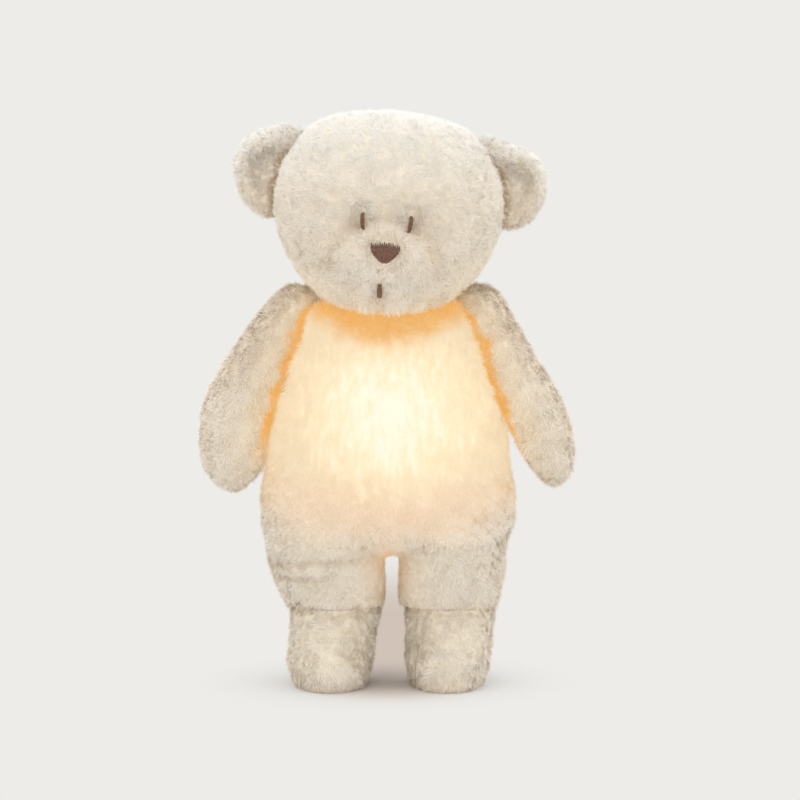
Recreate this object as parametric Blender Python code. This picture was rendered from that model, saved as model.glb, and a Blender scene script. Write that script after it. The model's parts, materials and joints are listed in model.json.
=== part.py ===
"""A standing plush bear with a night light in its belly.

Lengths are in metres and +Z is up. The bear faces -Y and stands on z = 0. Left and right are the
bear's own, so its left is +X. Heights of the stuffed forms are measured to the roots of the pile,
which stands a few millimetres proud of them.
"""

import math

import bmesh
import bpy
import numpy as np
from mathutils import Matrix, Vector
from mathutils.bvhtree import BVHTree

# Fits shared by the whole bear
GAP = 0.0003  # between two pieces that touch
OVERRUN = 0.01  # how far a cutter runs past what it cuts
SKIN = 0.003  # pile fabric with the roots of its pile
SOLE_CUT = 0.0005  # how deep the soles are pressed flat

# Trunk
TRUNK_BOTTOM = 0.092  # the crotch
TRUNK_HEIGHT = 0.164
TRUNK_WIDTH = 0.159
TRUNK_DEPTH = 0.105
NECK_CUT = 0.006  # how much of the trunk's round top is cut flat
SHOULDER_X = 0.0552  # where the shoulder plane stands at the shoulder's height
SHOULDER_DROP = 0.016  # the shoulder seam's middle below the neck
SHOULDER_LEAN = math.radians(16.5)  # the shoulder plane leans out downwards

# Head
HEAD_HEIGHT = 0.130
HEAD_WIDTH = 0.144
HEAD_DEPTH = 0.116
HEAD_FORWARD = 0.006
HEAD_SINK = 0.0043  # how much of the head's round underside is cut flat
HEAD_ROLL = math.radians(4.5)  # the chin leans towards the bear's right
MUZZLE_PROUD = 0.011
MUZZLE_WIDTH = 0.052
MUZZLE_HEIGHT = 0.036

# Face. The places are shares of the head's height, measured down from its middle.
MUZZLE_BELOW_SHARE = 0.2385
NOSE_BELOW_SHARE = 0.1846
EYE_BELOW_SHARE = 0.0231
MOUTH_BELOW_SHARE = 0.3615
NOSE_WIDTH = 0.0195
NOSE_HEIGHT = 0.0145
NOSE_PROUD = 0.0032
NOSE_CORNER = 0.0029
EYE_SPACING = 0.0302
EYE_LENGTH = 0.0105
MOUTH_LENGTH = 0.0090
MOUTH_ACROSS = -0.0012  # it is sewn a little towards the bear's right
STITCH_WIDTH = 0.0022
STITCH_PROUD = 0.0035

# Ears
EAR_WIDTH = 0.050
EAR_HEIGHT = 0.056
EAR_THICKNESS = 0.013
EAR_CUP = 0.009  # how far the rim curls forwards
EAR_OUT = 0.004  # its middle beyond the head's side
EAR_ABOVE_SHARE = 0.185  # its middle above the head's middle, as a share of the head's height
EAR_BACK = 0.006
EAR_TURN = math.radians(18)
LEFT_EAR_DROOP = math.radians(3)
RIGHT_EAR_DROOP = math.radians(16)

# Arms
ARM_LENGTH = 0.129
ARM_WIDTH = 0.0395
ARM_DEPTH = 0.041
ARM_TOP_X = 0.0600
ARM_SPREAD = 0.0440  # the paw's tip stands this far further out than the arm's top
ARM_RISE = 0.014  # the arm's top above the neck
ARM_FORWARD = 0.005

# Legs and feet
ANKLE = 0.053
LEG_RISE = 0.033  # the leg's round top above the trunk's bottom
LEG_SINK = 0.016  # the leg's form below the ankle
LEG_WIDTH = 0.072
LEG_DEPTH = 0.086
LEG_X = 0.0395
FOOT_WIDTH = 0.0500
FOOT_DEPTH = 0.078
FOOT_RISE = 0.012  # the foot's form above the ankle
FOOT_FORWARD = 0.010

# Light unit, an oval case that stands upright behind the belly
UNIT_UP_SHARE = 0.506  # its middle above the trunk's bottom, as a share of the trunk's height
UNIT_WIDTH = 0.076
UNIT_HEIGHT = 0.068
UNIT_DEPTH = 0.038
UNIT_WALL = 0.002
DIFFUSER_DEPTH = 0.020
DIFFUSER_ROUND = 0.008
BACK_ROUND = 0.0015
BELLY_PADDING = 0.013  # skin and filling in front of the pocket
LINING = 0.0015
POCKET_PLAY = 0.0005

BOARD = 0.0016
BOARD_MARGIN = 0.003
BOARD_AT = 0.014  # the main board's front face behind the unit's front
POST_TURN = math.radians(42)  # where the four screw posts stand round the oval
POST_CLEARANCE = 0.0006
POST_START_SHARE = 0.3  # a post starts this far down the diffuser's rounded rim
POST_RADIUS = 0.0029
SCREW_RADIUS = 0.0012
SCREW_PLAY = 0.00025
SCREW_HEAD_RADIUS = 0.0021
SCREW_HEAD = 0.0018
SCREW_LENGTH = 0.024
SCREW_SUNK = 0.0042  # the head's top below the back face
DRIVE_RADIUS = 0.0010
DRIVE_DEPTH = 0.0009
LED_SIZE = 0.0050
LED_BASE = 0.0010
LED_LENS_RADIUS = 0.0019
LED_RING = 0.0150
LED_COUNT = 5

BATTERY_WIDTH = 0.046
BATTERY_HEIGHT = 0.030
BATTERY_DEPTH = 0.0085
BATTERY_ROUND = 0.0015
LEAD_RADIUS = 0.0006
LEAD_SPACING = 0.005
LEAD_OUT = 0.0042
BOARD_LEAD_RADIUS = 0.0010
BOARD_LEAD_X = 0.0275

BUTTON_BOARD_HEIGHT = 0.013
BUTTON_BOARD_UP = 0.010  # above the unit's middle
BUTTON_BOARD_DEPTH = 0.0012
BUTTON_BOARD_AT = 0.029
PEG_RADIUS = 0.0011
BUTTON_RADIUS = 0.0050
BUTTON_PLAY = 0.0003
BUTTON_PROUD = 0.0015
BUTTON_FLANGE = 0.0008
BUTTON_FLANGE_DEPTH = 0.0008
BUTTON_TRAVEL = 0.0005
SWITCH_SIZE = 0.0060
SWITCH_DEPTH = 0.0029
PLUNGER_RADIUS = 0.0017
SOCKET_WIDTH = 0.0090
SOCKET_HEIGHT = 0.0034
SOCKET_WALL = 0.0004
SOCKET_SUNK = 0.0004
SOCKET_FLOOR = 0.0012
TONGUE_WIDTH = 0.0064
TONGUE_HEIGHT = 0.0007
LAMP_RADIUS = 0.0012
LAMP_UP = 0.0048  # above the button board's middle
LAMP_PROUD = 0.0003

# Flap over the pocket's mouth
FLAP_WIDTH = 0.100
FLAP_HEIGHT = 0.102
FLAP_DEPTH = 0.003
FLAP_SQUARENESS = 3.0
BINDING = 0.006  # the sewn-down strip above the flap's hinge
TAPE_WIDTH = 0.060
TAPE_HEIGHT = 0.010
TAPE_DEPTH = 0.001
TAPE_UP = 0.004  # above the flap's lower edge

# Fineness of the meshes
TRUNK_MESH = (28, 18)
HEAD_MESH = (28, 18)
LIMB_MESH = (18, 12)
EAR_MESH = (16, 10)
INNER_MESH = (16, 11)
INNER_LIMB_MESH = (12, 8)
STITCH_MESH = (8, 8)
LENS_MESH = (8, 4)
OVAL_SIDES = 32
ROUND_SIDES = 10
FLAP_SIDES = 32
RIM_STEPS = 3  # faces round a large rounded rim, and one less on a small one
WIRE_STEPS = 8

# Outlines of the stuffed forms, from the top down. Each row is a height, a half width, a half depth,
# a step across and a step forwards, as shares of the form's own height, half width, half depth,
# spread and forward reach.
TRUNK_SHARES = (
    (1.000, 0.00, 0.00, 0, 0.0),
    (0.976, 0.52, 0.46, 0, 0.0),
    (0.902, 0.715, 0.65, 0, 0.0),
    (0.768, 0.795, 0.82, 0, 0.3),
    (0.628, 0.870, 0.93, 0, 0.8),
    (0.445, 0.937, 1.00, 0, 1.0),
    (0.262, 0.978, 0.99, 0, 0.8),
    (0.140, 0.980, 0.93, 0, 0.4),
    (0.049, 0.915, 0.81, 0, 0.0),
    (0.000, 0.00, 0.00, 0, 0.0),
)
BELLY_FORWARD = 0.0015
HEAD_SHARES = (
    (1.000, 0.00, 0.00, 0, 0.0),
    (0.965, 0.50, 0.46, 0, 0.0),
    (0.890, 0.755, 0.71, 0, 0.0),
    (0.760, 0.925, 0.90, 0, 0.0),
    (0.610, 1.000, 1.00, 0, 0.0),
    (0.454, 0.985, 1.00, 0, 0.0),
    (0.300, 0.880, 0.93, 0, 0.0),
    (0.146, 0.667, 0.74, 0, 0.0),
    (0.042, 0.380, 0.42, 0, 0.0),
    (0.000, 0.00, 0.00, 0, 0.0),
)
ARM_SHARES = (
    (1.00, 0.00, 0.00, 0.00, 0.0),
    (0.95, 0.58, 0.52, 0.02, 0.0),
    (0.81, 0.90, 0.85, 0.15, 0.0),
    (0.64, 0.88, 0.90, 0.46, 0.3),
    (0.45, 1.00, 1.00, 0.78, 0.6),
    (0.26, 0.99, 1.00, 0.91, 0.9),
    (0.09, 0.76, 0.78, 0.985, 1.0),
    (0.00, 0.00, 0.00, 1.00, 1.0),
)
LEG_SHARES = (
    (1.00, 0.00, 0.00, -0.10, 0.0),
    (0.93, 0.60, 0.62, -0.06, 0.0),
    (0.77, 0.98, 0.99, 0.00, 0.0),
    (0.58, 0.98, 0.96, 0.00, 0.0),
    (0.38, 0.87, 0.82, -0.04, 0.0),
    (0.20, 0.76, 0.71, -0.06, 0.0),
    (0.08, 0.60, 0.58, -0.06, 0.0),
    (0.00, 0.00, 0.00, -0.06, 0.0),
)
FOOT_SHARES = (
    (1.00, 0.00, 0.00, -0.05, 0.0),
    (0.95, 0.62, 0.48, -0.05, 0.0),
    (0.79, 1.00, 0.76, -0.04, 0.2),
    (0.55, 1.02, 0.93, -0.02, 0.8),
    (0.28, 1.00, 1.00, -0.02, 1.0),
    (0.09, 0.92, 0.93, -0.02, 1.0),
    (0.015, 0.76, 0.80, -0.02, 1.0),
    (0.00, 0.00, 0.00, -0.02, 1.0),
)
NOSE_POINT_SHARES = ((-0.5, 0.5), (0.5, 0.5), (0.40, -0.06), (0.0, -0.5), (-0.40, -0.06))

# Heights and places that follow from the sizes above
NECK = TRUNK_BOTTOM + TRUNK_HEIGHT - NECK_CUT
HEAD_BOTTOM = NECK + GAP - HEAD_SINK
HEAD_MIDDLE = Vector((0, -HEAD_FORWARD, HEAD_BOTTOM + HEAD_HEIGHT / 2))
MUZZLE_BELOW, NOSE_BELOW, EYE_BELOW, MOUTH_BELOW = (
    HEAD_HEIGHT * share
    for share in (MUZZLE_BELOW_SHARE, NOSE_BELOW_SHARE, EYE_BELOW_SHARE, MOUTH_BELOW_SHARE)
)
SHOULDER_Z = NECK - SHOULDER_DROP
UNIT_Z = TRUNK_BOTTOM + TRUNK_HEIGHT * UNIT_UP_SHARE
UNIT_FRONT = -TRUNK_DEPTH / 2 - BELLY_FORWARD + BELLY_PADDING + LINING + GAP
UNIT_BACK = UNIT_FRONT + UNIT_DEPTH
UNIT_HALF = (UNIT_WIDTH / 2, UNIT_HEIGHT / 2)
POST_X, POST_Z = (half - UNIT_WALL - POST_CLEARANCE - POST_RADIUS for half in UNIT_HALF)
POST_X, POST_Z = POST_X * math.cos(POST_TURN), POST_Z * math.sin(POST_TURN)
BUTTON_X = SOCKET_WIDTH / 2 + 3 * GAP + BUTTON_FLANGE + BUTTON_RADIUS
PEG_X = BUTTON_X + BUTTON_RADIUS + BUTTON_FLANGE + GAP + PEG_RADIUS
BUTTON_BOARD_WIDTH = 2 * (PEG_X + PEG_RADIUS)
LINING_HALF = tuple(half + POCKET_PLAY + LINING for half in UNIT_HALF)
TAPES_OUT = GAP + TAPE_DEPTH + GAP + TAPE_DEPTH + GAP  # from the trunk's skin to the flap
FLAP_OUT = TAPES_OUT + FLAP_DEPTH
FLAP_BOTTOM = UNIT_Z - FLAP_HEIGHT / 2
HINGE_Z = FLAP_BOTTOM + FLAP_HEIGHT - BINDING
REACH = 2 * (TRUNK_HEIGHT + HEAD_HEIGHT)  # longer than anything that a cutter crosses

COLOURS = {  # base colour, roughness, metallic
    "pile": ((0.78, 0.72, 0.60), 0.95, 0.0),
    "filling": ((0.93, 0.93, 0.92), 0.95, 0.0),
    "thread": ((0.10, 0.045, 0.03), 0.70, 0.0),
    "lining": ((0.86, 0.84, 0.79), 0.90, 0.0),
    "tape": ((0.82, 0.80, 0.75), 0.80, 0.0),
    "diffuser": ((0.95, 0.93, 0.86), 0.35, 0.0),
    "case": ((0.90, 0.90, 0.88), 0.45, 0.0),
    "board": ((0.03, 0.20, 0.09), 0.50, 0.0),
    "led": ((0.98, 0.80, 0.35), 0.30, 0.0),
    "battery": ((0.16, 0.24, 0.45), 0.40, 0.0),
    "wire_red": ((0.60, 0.03, 0.03), 0.45, 0.0),
    "wire_black": ((0.02, 0.02, 0.02), 0.45, 0.0),
    "switch": ((0.04, 0.04, 0.045), 0.50, 0.0),
    "button": ((0.70, 0.68, 0.63), 0.60, 0.0),
    "metal": ((0.66, 0.66, 0.68), 0.30, 1.0),
}


def new_collection(name):
    collection = bpy.data.collections.new(name)
    bpy.context.scene.collection.children.link(collection)
    return collection


def material(name):
    """The named finish, made the first time that it is asked for."""
    made = bpy.data.materials.get(name)
    if made is None:
        colour, roughness, metallic = COLOURS[name]
        made = bpy.data.materials.new(name)
        made.use_nodes = True
        shader = made.node_tree.nodes["Principled BSDF"]
        shader.inputs["Base Color"].default_value = (*colour, 1)
        shader.inputs["Roughness"].default_value = roughness
        shader.inputs["Metallic"].default_value = metallic
    return made


def keep(mesh, name, finish, parent=None):
    """Puts a mesh in the bear's collection as a named piece, held by its joint's empty."""
    piece = bpy.data.objects.new(name, mesh)
    mesh.materials.append(material(finish))
    mesh.shade_smooth()
    mesh.set_sharp_from_angle(angle=math.radians(40))
    bear.objects.link(piece)
    hold(piece, parent or bear_origin)
    return piece


def hold(thing, parent):
    thing.parent = parent
    thing.matrix_parent_inverse = parent.matrix_world.inverted()


def as_cutter(mesh, name):
    cutter = bpy.data.objects.new(name, mesh)
    cutters.objects.link(cutter)
    cutter.hide_render = True
    cutter.display_type = "WIRE"
    hold(cutter, bear_origin)
    return cutter


def cut(piece, *tools, operation="DIFFERENCE"):
    for tool in tools:
        change = piece.modifiers.new(tool.name, "BOOLEAN")
        change.operation = operation
        change.object = tool
        change.solver = "EXACT"


def joint_axis(name, place, parent=None):
    """An empty on a joint's axis, which the moving pieces hang from."""
    empty = bpy.data.objects.new(name, None)
    bear.objects.link(empty)
    empty.location = place
    bpy.context.view_layer.update()
    hold(empty, parent or bear_origin)
    return empty


def to_mesh(bm, name):
    mesh = bpy.data.meshes.new(name)
    bm.to_mesh(mesh)
    bm.free()
    return mesh


def smooth_row(rows, place):
    """The row at a place from 0 to 1 along a smooth curve that leaves both poles square to the axis."""

    across_the_axis = np.array([1, -1, -1, 1, 1])
    points = [rows[1] * across_the_axis, *rows, rows[-2] * across_the_axis]
    i = min(int(place * (len(rows) - 1)), len(rows) - 2)
    t = place * (len(rows) - 1) - i
    a, b, c, d = points[i : i + 4]
    return 0.5 * (2 * b + (c - a) * t + (2 * a - 5 * b + 4 * c - d) * t**2 + (3 * b - a - 3 * c + d) * t**3)


def stuffed(name, shares, low, size, fineness, spread=0.0, forward=0.0, centre=(0, 0), grow=0.0, shape=None):
    """A closed form that swells and tapers along Z, from a sphere laid along its outline.

    grow moves the surface outwards, or inwards where it is negative. shape moves single points.
    The faces are split before that, so that two layers of one form run alongside each other.
    """
    width, depth, height = size
    rows = [np.array(row, float) for row in shares]
    bm = bmesh.new()
    bmesh.ops.create_uvsphere(bm, u_segments=fineness[0], v_segments=fineness[1], radius=1)
    for v in bm.verts:
        polar = math.acos(max(-1, min(1, v.co.z))) / math.pi
        turn = math.atan2(v.co.y, v.co.x)
        up, wide, deep, across, ahead = smooth_row(rows, polar)
        v.co = (
            centre[0] + spread * across + width / 2 * wide * math.cos(turn),
            centre[1] - forward * ahead + depth / 2 * deep * math.sin(turn),
            low + height * up,
        )
    if shape:
        for v in bm.verts:
            v.co = shape(v.co)
    bmesh.ops.triangulate(bm, faces=bm.faces[:])
    if grow:
        bm.normal_update()
        moved = [(v, v.co + v.normal * grow) for v in bm.verts]
        for v, place in moved:
            v.co = place
    return to_mesh(bm, name)


def block(name, low, high, lean=None):
    """A box between two corners, turned by a matrix where one is given."""
    bm = bmesh.new()
    bmesh.ops.create_cube(bm, size=1)
    low, high = Vector(low), Vector(high)
    bmesh.ops.scale(bm, vec=high - low, verts=bm.verts)
    bmesh.ops.translate(bm, vec=(low + high) / 2, verts=bm.verts)
    if lean:
        bmesh.ops.transform(bm, matrix=lean, verts=bm.verts)
    return to_mesh(bm, name)


def oval(name, half, front, back, sides=OVAL_SIDES, centre=None, rim=0.0, rim_at="front", squareness=2.0):
    """An upright oval disc from y = front to y = back, with one rounded rim.

    It is turned by half a side, so that no corner falls on the seam line of the form that it cuts.
    """
    x, z = centre or (0, UNIT_Z)
    bm = bmesh.new()
    bmesh.ops.create_cone(bm, cap_ends=True, segments=sides, radius1=1, radius2=1, depth=1)
    bmesh.ops.rotate(bm, matrix=Matrix.Rotation(math.pi / sides, 3, "Z"), verts=bm.verts)
    bmesh.ops.rotate(bm, matrix=Matrix.Rotation(math.pi / 2, 3, "X"), verts=bm.verts)
    for v in bm.verts:
        turn = math.atan2(v.co.z, v.co.x)
        power = 2 / squareness
        v.co = (
            x + half[0] * math.copysign(abs(math.cos(turn)) ** power, math.cos(turn)),
            back if v.co.y > 0 else front,
            z + half[1] * math.copysign(abs(math.sin(turn)) ** power, math.sin(turn)),
        )
    if rim:
        at = front if rim_at == "front" else back
        edges = [e for e in bm.edges if all(abs(v.co.y - at) < GAP / 10 for v in e.verts)]
        steps = RIM_STEPS if rim > UNIT_WALL else RIM_STEPS - 1
        bmesh.ops.bevel(
            bm, geom=edges, offset=rim, segments=steps, profile=0.5, affect="EDGES", clamp_overlap=True
        )
    return to_mesh(bm, name)


def rod(name, radius, front, back, centre, sides=ROUND_SIDES, rim=0.0, rim_at="back"):
    return oval(name, (radius, radius), front, back, sides, centre, rim, rim_at)


def plate(name, size, front, back, centre, rim=0.0):
    """An upright rectangular plate from y = front to y = back."""
    bm = bmesh.new()
    bmesh.ops.create_cube(bm, size=1)
    bmesh.ops.scale(bm, vec=(size[0], back - front, size[1]), verts=bm.verts)
    bmesh.ops.translate(bm, vec=(centre[0], (front + back) / 2, centre[1]), verts=bm.verts)
    if rim:
        bmesh.ops.bevel(bm, geom=bm.edges[:], offset=rim, segments=1, profile=0.5, affect="EDGES")
    return to_mesh(bm, name)


def trunk_form(name, fineness, grow=0.0):
    return stuffed(
        name,
        TRUNK_SHARES,
        TRUNK_BOTTOM,
        (TRUNK_WIDTH, TRUNK_DEPTH, TRUNK_HEIGHT),
        fineness,
        forward=BELLY_FORWARD,
        grow=grow,
    )


def muzzle(place):
    """Swells the front of the head around the nose and mouth."""
    if place.y > HEAD_MIDDLE.y:
        return place
    across = (place.x - HEAD_MIDDLE.x) / (MUZZLE_WIDTH / 2)
    up = (place.z - HEAD_MIDDLE.z + MUZZLE_BELOW) / (MUZZLE_HEIGHT / 2)
    return place - Vector((0, MUZZLE_PROUD * math.exp(-(across**2) - up**2), 0))


def head_roll():
    """Rolls about the head's middle, in the plane of the face."""
    about = Matrix.Translation(HEAD_MIDDLE)
    return about @ Matrix.Rotation(HEAD_ROLL, 4, "Y") @ about.inverted()


def head_form(name, fineness, grow=0.0):
    mesh = stuffed(
        name,
        HEAD_SHARES,
        HEAD_BOTTOM,
        (HEAD_WIDTH, HEAD_DEPTH, HEAD_HEIGHT),
        fineness,
        centre=HEAD_MIDDLE.xy,
        grow=grow,
        shape=muzzle,
    )
    mesh.transform(head_roll())
    return mesh


def arm_form(name, side, fineness, grow=0.0):
    return stuffed(
        name,
        ARM_SHARES,
        NECK + ARM_RISE - ARM_LENGTH,
        (ARM_WIDTH, ARM_DEPTH, ARM_LENGTH),
        fineness,
        spread=side * ARM_SPREAD,
        forward=ARM_FORWARD,
        centre=(side * ARM_TOP_X, 0),
        grow=grow,
    )


def leg_form(name, side, fineness, grow=0.0):
    low = ANKLE - LEG_SINK
    return stuffed(
        name,
        LEG_SHARES,
        low,
        (LEG_WIDTH, LEG_DEPTH, TRUNK_BOTTOM + LEG_RISE - low),
        fineness,
        spread=side * LEG_X,
        centre=(side * LEG_X, 0),
        grow=grow,
    )


def foot_form(name, side, fineness, grow=0.0):
    return stuffed(
        name,
        FOOT_SHARES,
        -SOLE_CUT,
        (FOOT_WIDTH, FOOT_DEPTH, ANKLE + FOOT_RISE + SOLE_CUT),
        fineness,
        spread=side * LEG_X,
        forward=FOOT_FORWARD,
        centre=(side * LEG_X, 0),
        grow=grow,
    )


def shoulder_plane(side):
    """The matrix of the plane that an arm's root lies in, with +X along the joint's axis, outwards."""
    turn = Matrix.Rotation(math.pi, 4, "Z") if side < 0 else Matrix.Identity(4)
    return turn @ Matrix.Translation((SHOULDER_X, 0, SHOULDER_Z)) @ Matrix.Rotation(-SHOULDER_LEAN, 4, "Y")


def half_space(name, side, inner, offset):
    """Everything on one side of a shoulder plane, moved outwards by offset."""
    low = -REACH if inner else offset
    high = offset if inner else REACH
    return block(name, (low, -REACH, -REACH), (high, REACH, REACH), shoulder_plane(side))


def beyond_shoulders(name, offset):
    """Two cutters that cut the trunk flat where the arms are sewn on."""
    return [
        as_cutter(half_space(f"{word}_{name}", side, False, offset), f"{word}_{name}")
        for word, side in (("left", 1), ("right", -1))
    ]


def layer_on_back(name, inner, outer):
    """A layer of the trunk's back between two distances from its skin: its mesh and its inner cutter."""
    mesh = trunk_form(name, TRUNK_MESH, grow=outer)
    return mesh, as_cutter(trunk_form(name + "_inside", TRUNK_MESH, grow=inner), name + "_inside")


def flap_outline(name, grow=0.0):
    half = (FLAP_WIDTH / 2 + grow, FLAP_HEIGHT / 2 + grow)
    return oval(name, half, 0, REACH, FLAP_SIDES, squareness=FLAP_SQUARENESS)


def make_trunk():
    skin = keep(trunk_form("trunk_skin", TRUNK_MESH), "trunk_skin", "pile")
    hollow = as_cutter(trunk_form("trunk_hollow", INNER_MESH, grow=-SKIN), "trunk_hollow")
    over = (-REACH, -REACH, NECK), (REACH, REACH, NECK + REACH)
    above = as_cutter(block("above_neck", *over), "above_neck")
    cut(hollow, *beyond_shoulders("of_hollow", -SKIN))
    mouth_half = tuple(half + GAP for half in LINING_HALF)
    mouth = as_cutter(oval("pocket_mouth", mouth_half, 0, REACH), "pocket_mouth")
    cut(skin, hollow, above, *beyond_shoulders("of_trunk", 0.0), mouth)

    filling = keep(trunk_form("trunk_filling", INNER_MESH, grow=-SKIN - GAP), "trunk_filling", "filling")
    front = UNIT_FRONT - GAP - LINING
    rim = DIFFUSER_ROUND + LINING
    pocket = as_cutter(oval("pocket_room", mouth_half, front - GAP, REACH, rim=rim), "pocket_room")
    cut(filling, pocket, above, *beyond_shoulders("of_filling", -SKIN - GAP))

    lining = keep(oval("pocket_lining", LINING_HALF, front, REACH / 2, rim=rim), "pocket_lining", "lining")
    inside_half = tuple(half - LINING for half in LINING_HALF)
    inside_mesh = oval("lining_inside", inside_half, front + LINING, REACH, rim=DIFFUSER_ROUND)
    inside = as_cutter(inside_mesh, "lining_inside")
    within = as_cutter(trunk_form("within_skin", INNER_MESH, grow=-SKIN - GAP), "within_skin")
    cut(lining, within, operation="INTERSECT")
    cut(lining, inside)


def back_surface(z):
    """How far back the trunk's skin stands at its middle, at a height."""
    mesh = trunk_form("measured_trunk", TRUNK_MESH)
    tree = BVHTree.FromPolygons([v.co for v in mesh.vertices], [p.vertices[:] for p in mesh.polygons])
    hit = tree.ray_cast(Vector((0, REACH, z)), Vector((0, -1, 0)))[0]
    bpy.data.meshes.remove(mesh)
    return hit.y


def make_flap():
    axis_y = back_surface(HINGE_Z) + FLAP_OUT
    hinge = joint_axis("flap_axis", (0, axis_y, HINGE_Z))
    outline = as_cutter(flap_outline("flap_outline"), "flap_outline")
    below = (-REACH, 0, FLAP_BOTTOM - OVERRUN), (REACH, REACH, HINGE_Z - GAP)
    above = (-REACH, 0, HINGE_Z), (REACH, REACH, HINGE_Z + REACH)

    mesh, under = layer_on_back("back_flap", TAPES_OUT, FLAP_OUT)
    flap = keep(mesh, "back_flap", "pile", hinge)
    cut(flap, outline, as_cutter(block("below_hinge", *below), "below_hinge"), operation="INTERSECT")
    cut(flap, under)

    mesh, under = layer_on_back("flap_binding", GAP, FLAP_OUT)
    binding = keep(mesh, "flap_binding", "pile")
    cut(binding, outline, as_cutter(block("above_hinge", *above), "above_hinge"), operation="INTERSECT")
    cut(binding, under)

    tape_low = FLAP_BOTTOM + TAPE_UP
    strip = as_cutter(
        block("tape_strip", (-TAPE_WIDTH / 2, 0, tape_low), (TAPE_WIDTH / 2, REACH, tape_low + TAPE_HEIGHT)),
        "tape_strip",
    )
    for name, inner, parent in (
        ("loop_tape", GAP, None),
        ("hook_tape", GAP + TAPE_DEPTH + GAP, hinge),
    ):
        mesh, under = layer_on_back(name, inner, inner + TAPE_DEPTH)
        tape = keep(mesh, name, "tape", parent)
        cut(tape, strip, operation="INTERSECT")
        cut(tape, under)


def make_head():
    neck = joint_axis("head_axis", (0, 0, NECK))
    skin = keep(head_form("head_skin", HEAD_MESH), "head_skin", "pile", neck)
    hollow = as_cutter(head_form("head_hollow", INNER_MESH, grow=-SKIN), "head_hollow")
    below = as_cutter(
        block("below_neck", (-REACH, -REACH, NECK - REACH), (REACH, REACH, NECK + GAP)), "below_neck"
    )
    cut(skin, hollow, below)
    filling = keep(head_form("head_filling", INNER_MESH, grow=-SKIN - GAP), "head_filling", "filling", neck)
    cut(filling, below)
    head_room = as_cutter(head_form("head_room", HEAD_MESH, grow=GAP), "head_room")
    make_ear("left_ear", 1, LEFT_EAR_DROOP, neck, head_room)
    make_ear("right_ear", -1, RIGHT_EAR_DROOP, neck, head_room)
    make_face(neck, head_room)


def make_ear(name, side, droop, neck, head_room):
    """A thin leaf whose rim curls forwards, sewn into the side of the head and drooping outwards."""
    middle = HEAD_MIDDLE + Vector(
        (side * (HEAD_WIDTH / 2 + EAR_OUT), EAR_BACK, HEAD_HEIGHT * EAR_ABOVE_SHARE)
    )
    bm = bmesh.new()
    bmesh.ops.create_uvsphere(bm, u_segments=EAR_MESH[0], v_segments=EAR_MESH[1], radius=1)
    for v in bm.verts:
        rim = v.co.x**2 + v.co.z**2
        v.co = (
            EAR_WIDTH / 2 * v.co.x,
            EAR_THICKNESS / 2 * v.co.y - EAR_CUP * rim,
            EAR_HEIGHT / 2 * v.co.z,
        )
    bmesh.ops.rotate(bm, matrix=Matrix.Rotation(side * droop, 3, "Y"), verts=bm.verts)
    bmesh.ops.rotate(bm, matrix=Matrix.Rotation(side * EAR_TURN, 3, "Z"), verts=bm.verts)
    bmesh.ops.translate(bm, vec=middle, verts=bm.verts)
    bmesh.ops.transform(bm, matrix=head_roll(), verts=bm.verts)
    cut(keep(to_mesh(bm, name), name, "pile", neck), head_room)


def on_face(tree, across, below):
    """The point on the front of the head at a distance across and below its middle."""
    start = head_roll() @ (HEAD_MIDDLE + Vector((across, -REACH, -below)))
    return tree.ray_cast(start, Vector((0, 1, 0)))[0]


def facing(tree, across, below):
    """A frame on the face: X across, Z up and -Y out of it, from the points around its place."""
    reach = EYE_LENGTH / 2
    sideways = on_face(tree, across + reach, below) - on_face(tree, across - reach, below)
    up = on_face(tree, across, below - reach) - on_face(tree, across, below + reach)
    inwards = up.cross(sideways).normalized()
    sideways.normalize()
    frame = Matrix((sideways, inwards, sideways.cross(inwards))).transposed()
    return Matrix.Translation(on_face(tree, across, below)) @ frame.to_4x4()


def make_face(neck, head_room):
    mesh = head_form("measured_head", HEAD_MESH)
    tree = BVHTree.FromPolygons([v.co for v in mesh.vertices], [p.vertices[:] for p in mesh.polygons])
    make_nose(tree, neck, head_room)
    stitches = (
        ("left_eye_stitch", EYE_SPACING / 2, EYE_BELOW, EYE_LENGTH),
        ("right_eye_stitch", -EYE_SPACING / 2, EYE_BELOW, EYE_LENGTH),
        ("mouth_stitch", MOUTH_ACROSS, MOUTH_BELOW, MOUTH_LENGTH),
    )
    for name, across, below, length in stitches:
        bm = bmesh.new()
        bmesh.ops.create_uvsphere(bm, u_segments=STITCH_MESH[0], v_segments=STITCH_MESH[1], radius=1)
        bmesh.ops.scale(bm, vec=(STITCH_WIDTH / 2, STITCH_PROUD, length / 2), verts=bm.verts)
        bmesh.ops.transform(bm, matrix=facing(tree, across, below), verts=bm.verts)
        cut(keep(to_mesh(bm, name), name, "thread", neck), head_room)
    bpy.data.meshes.remove(mesh)


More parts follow.
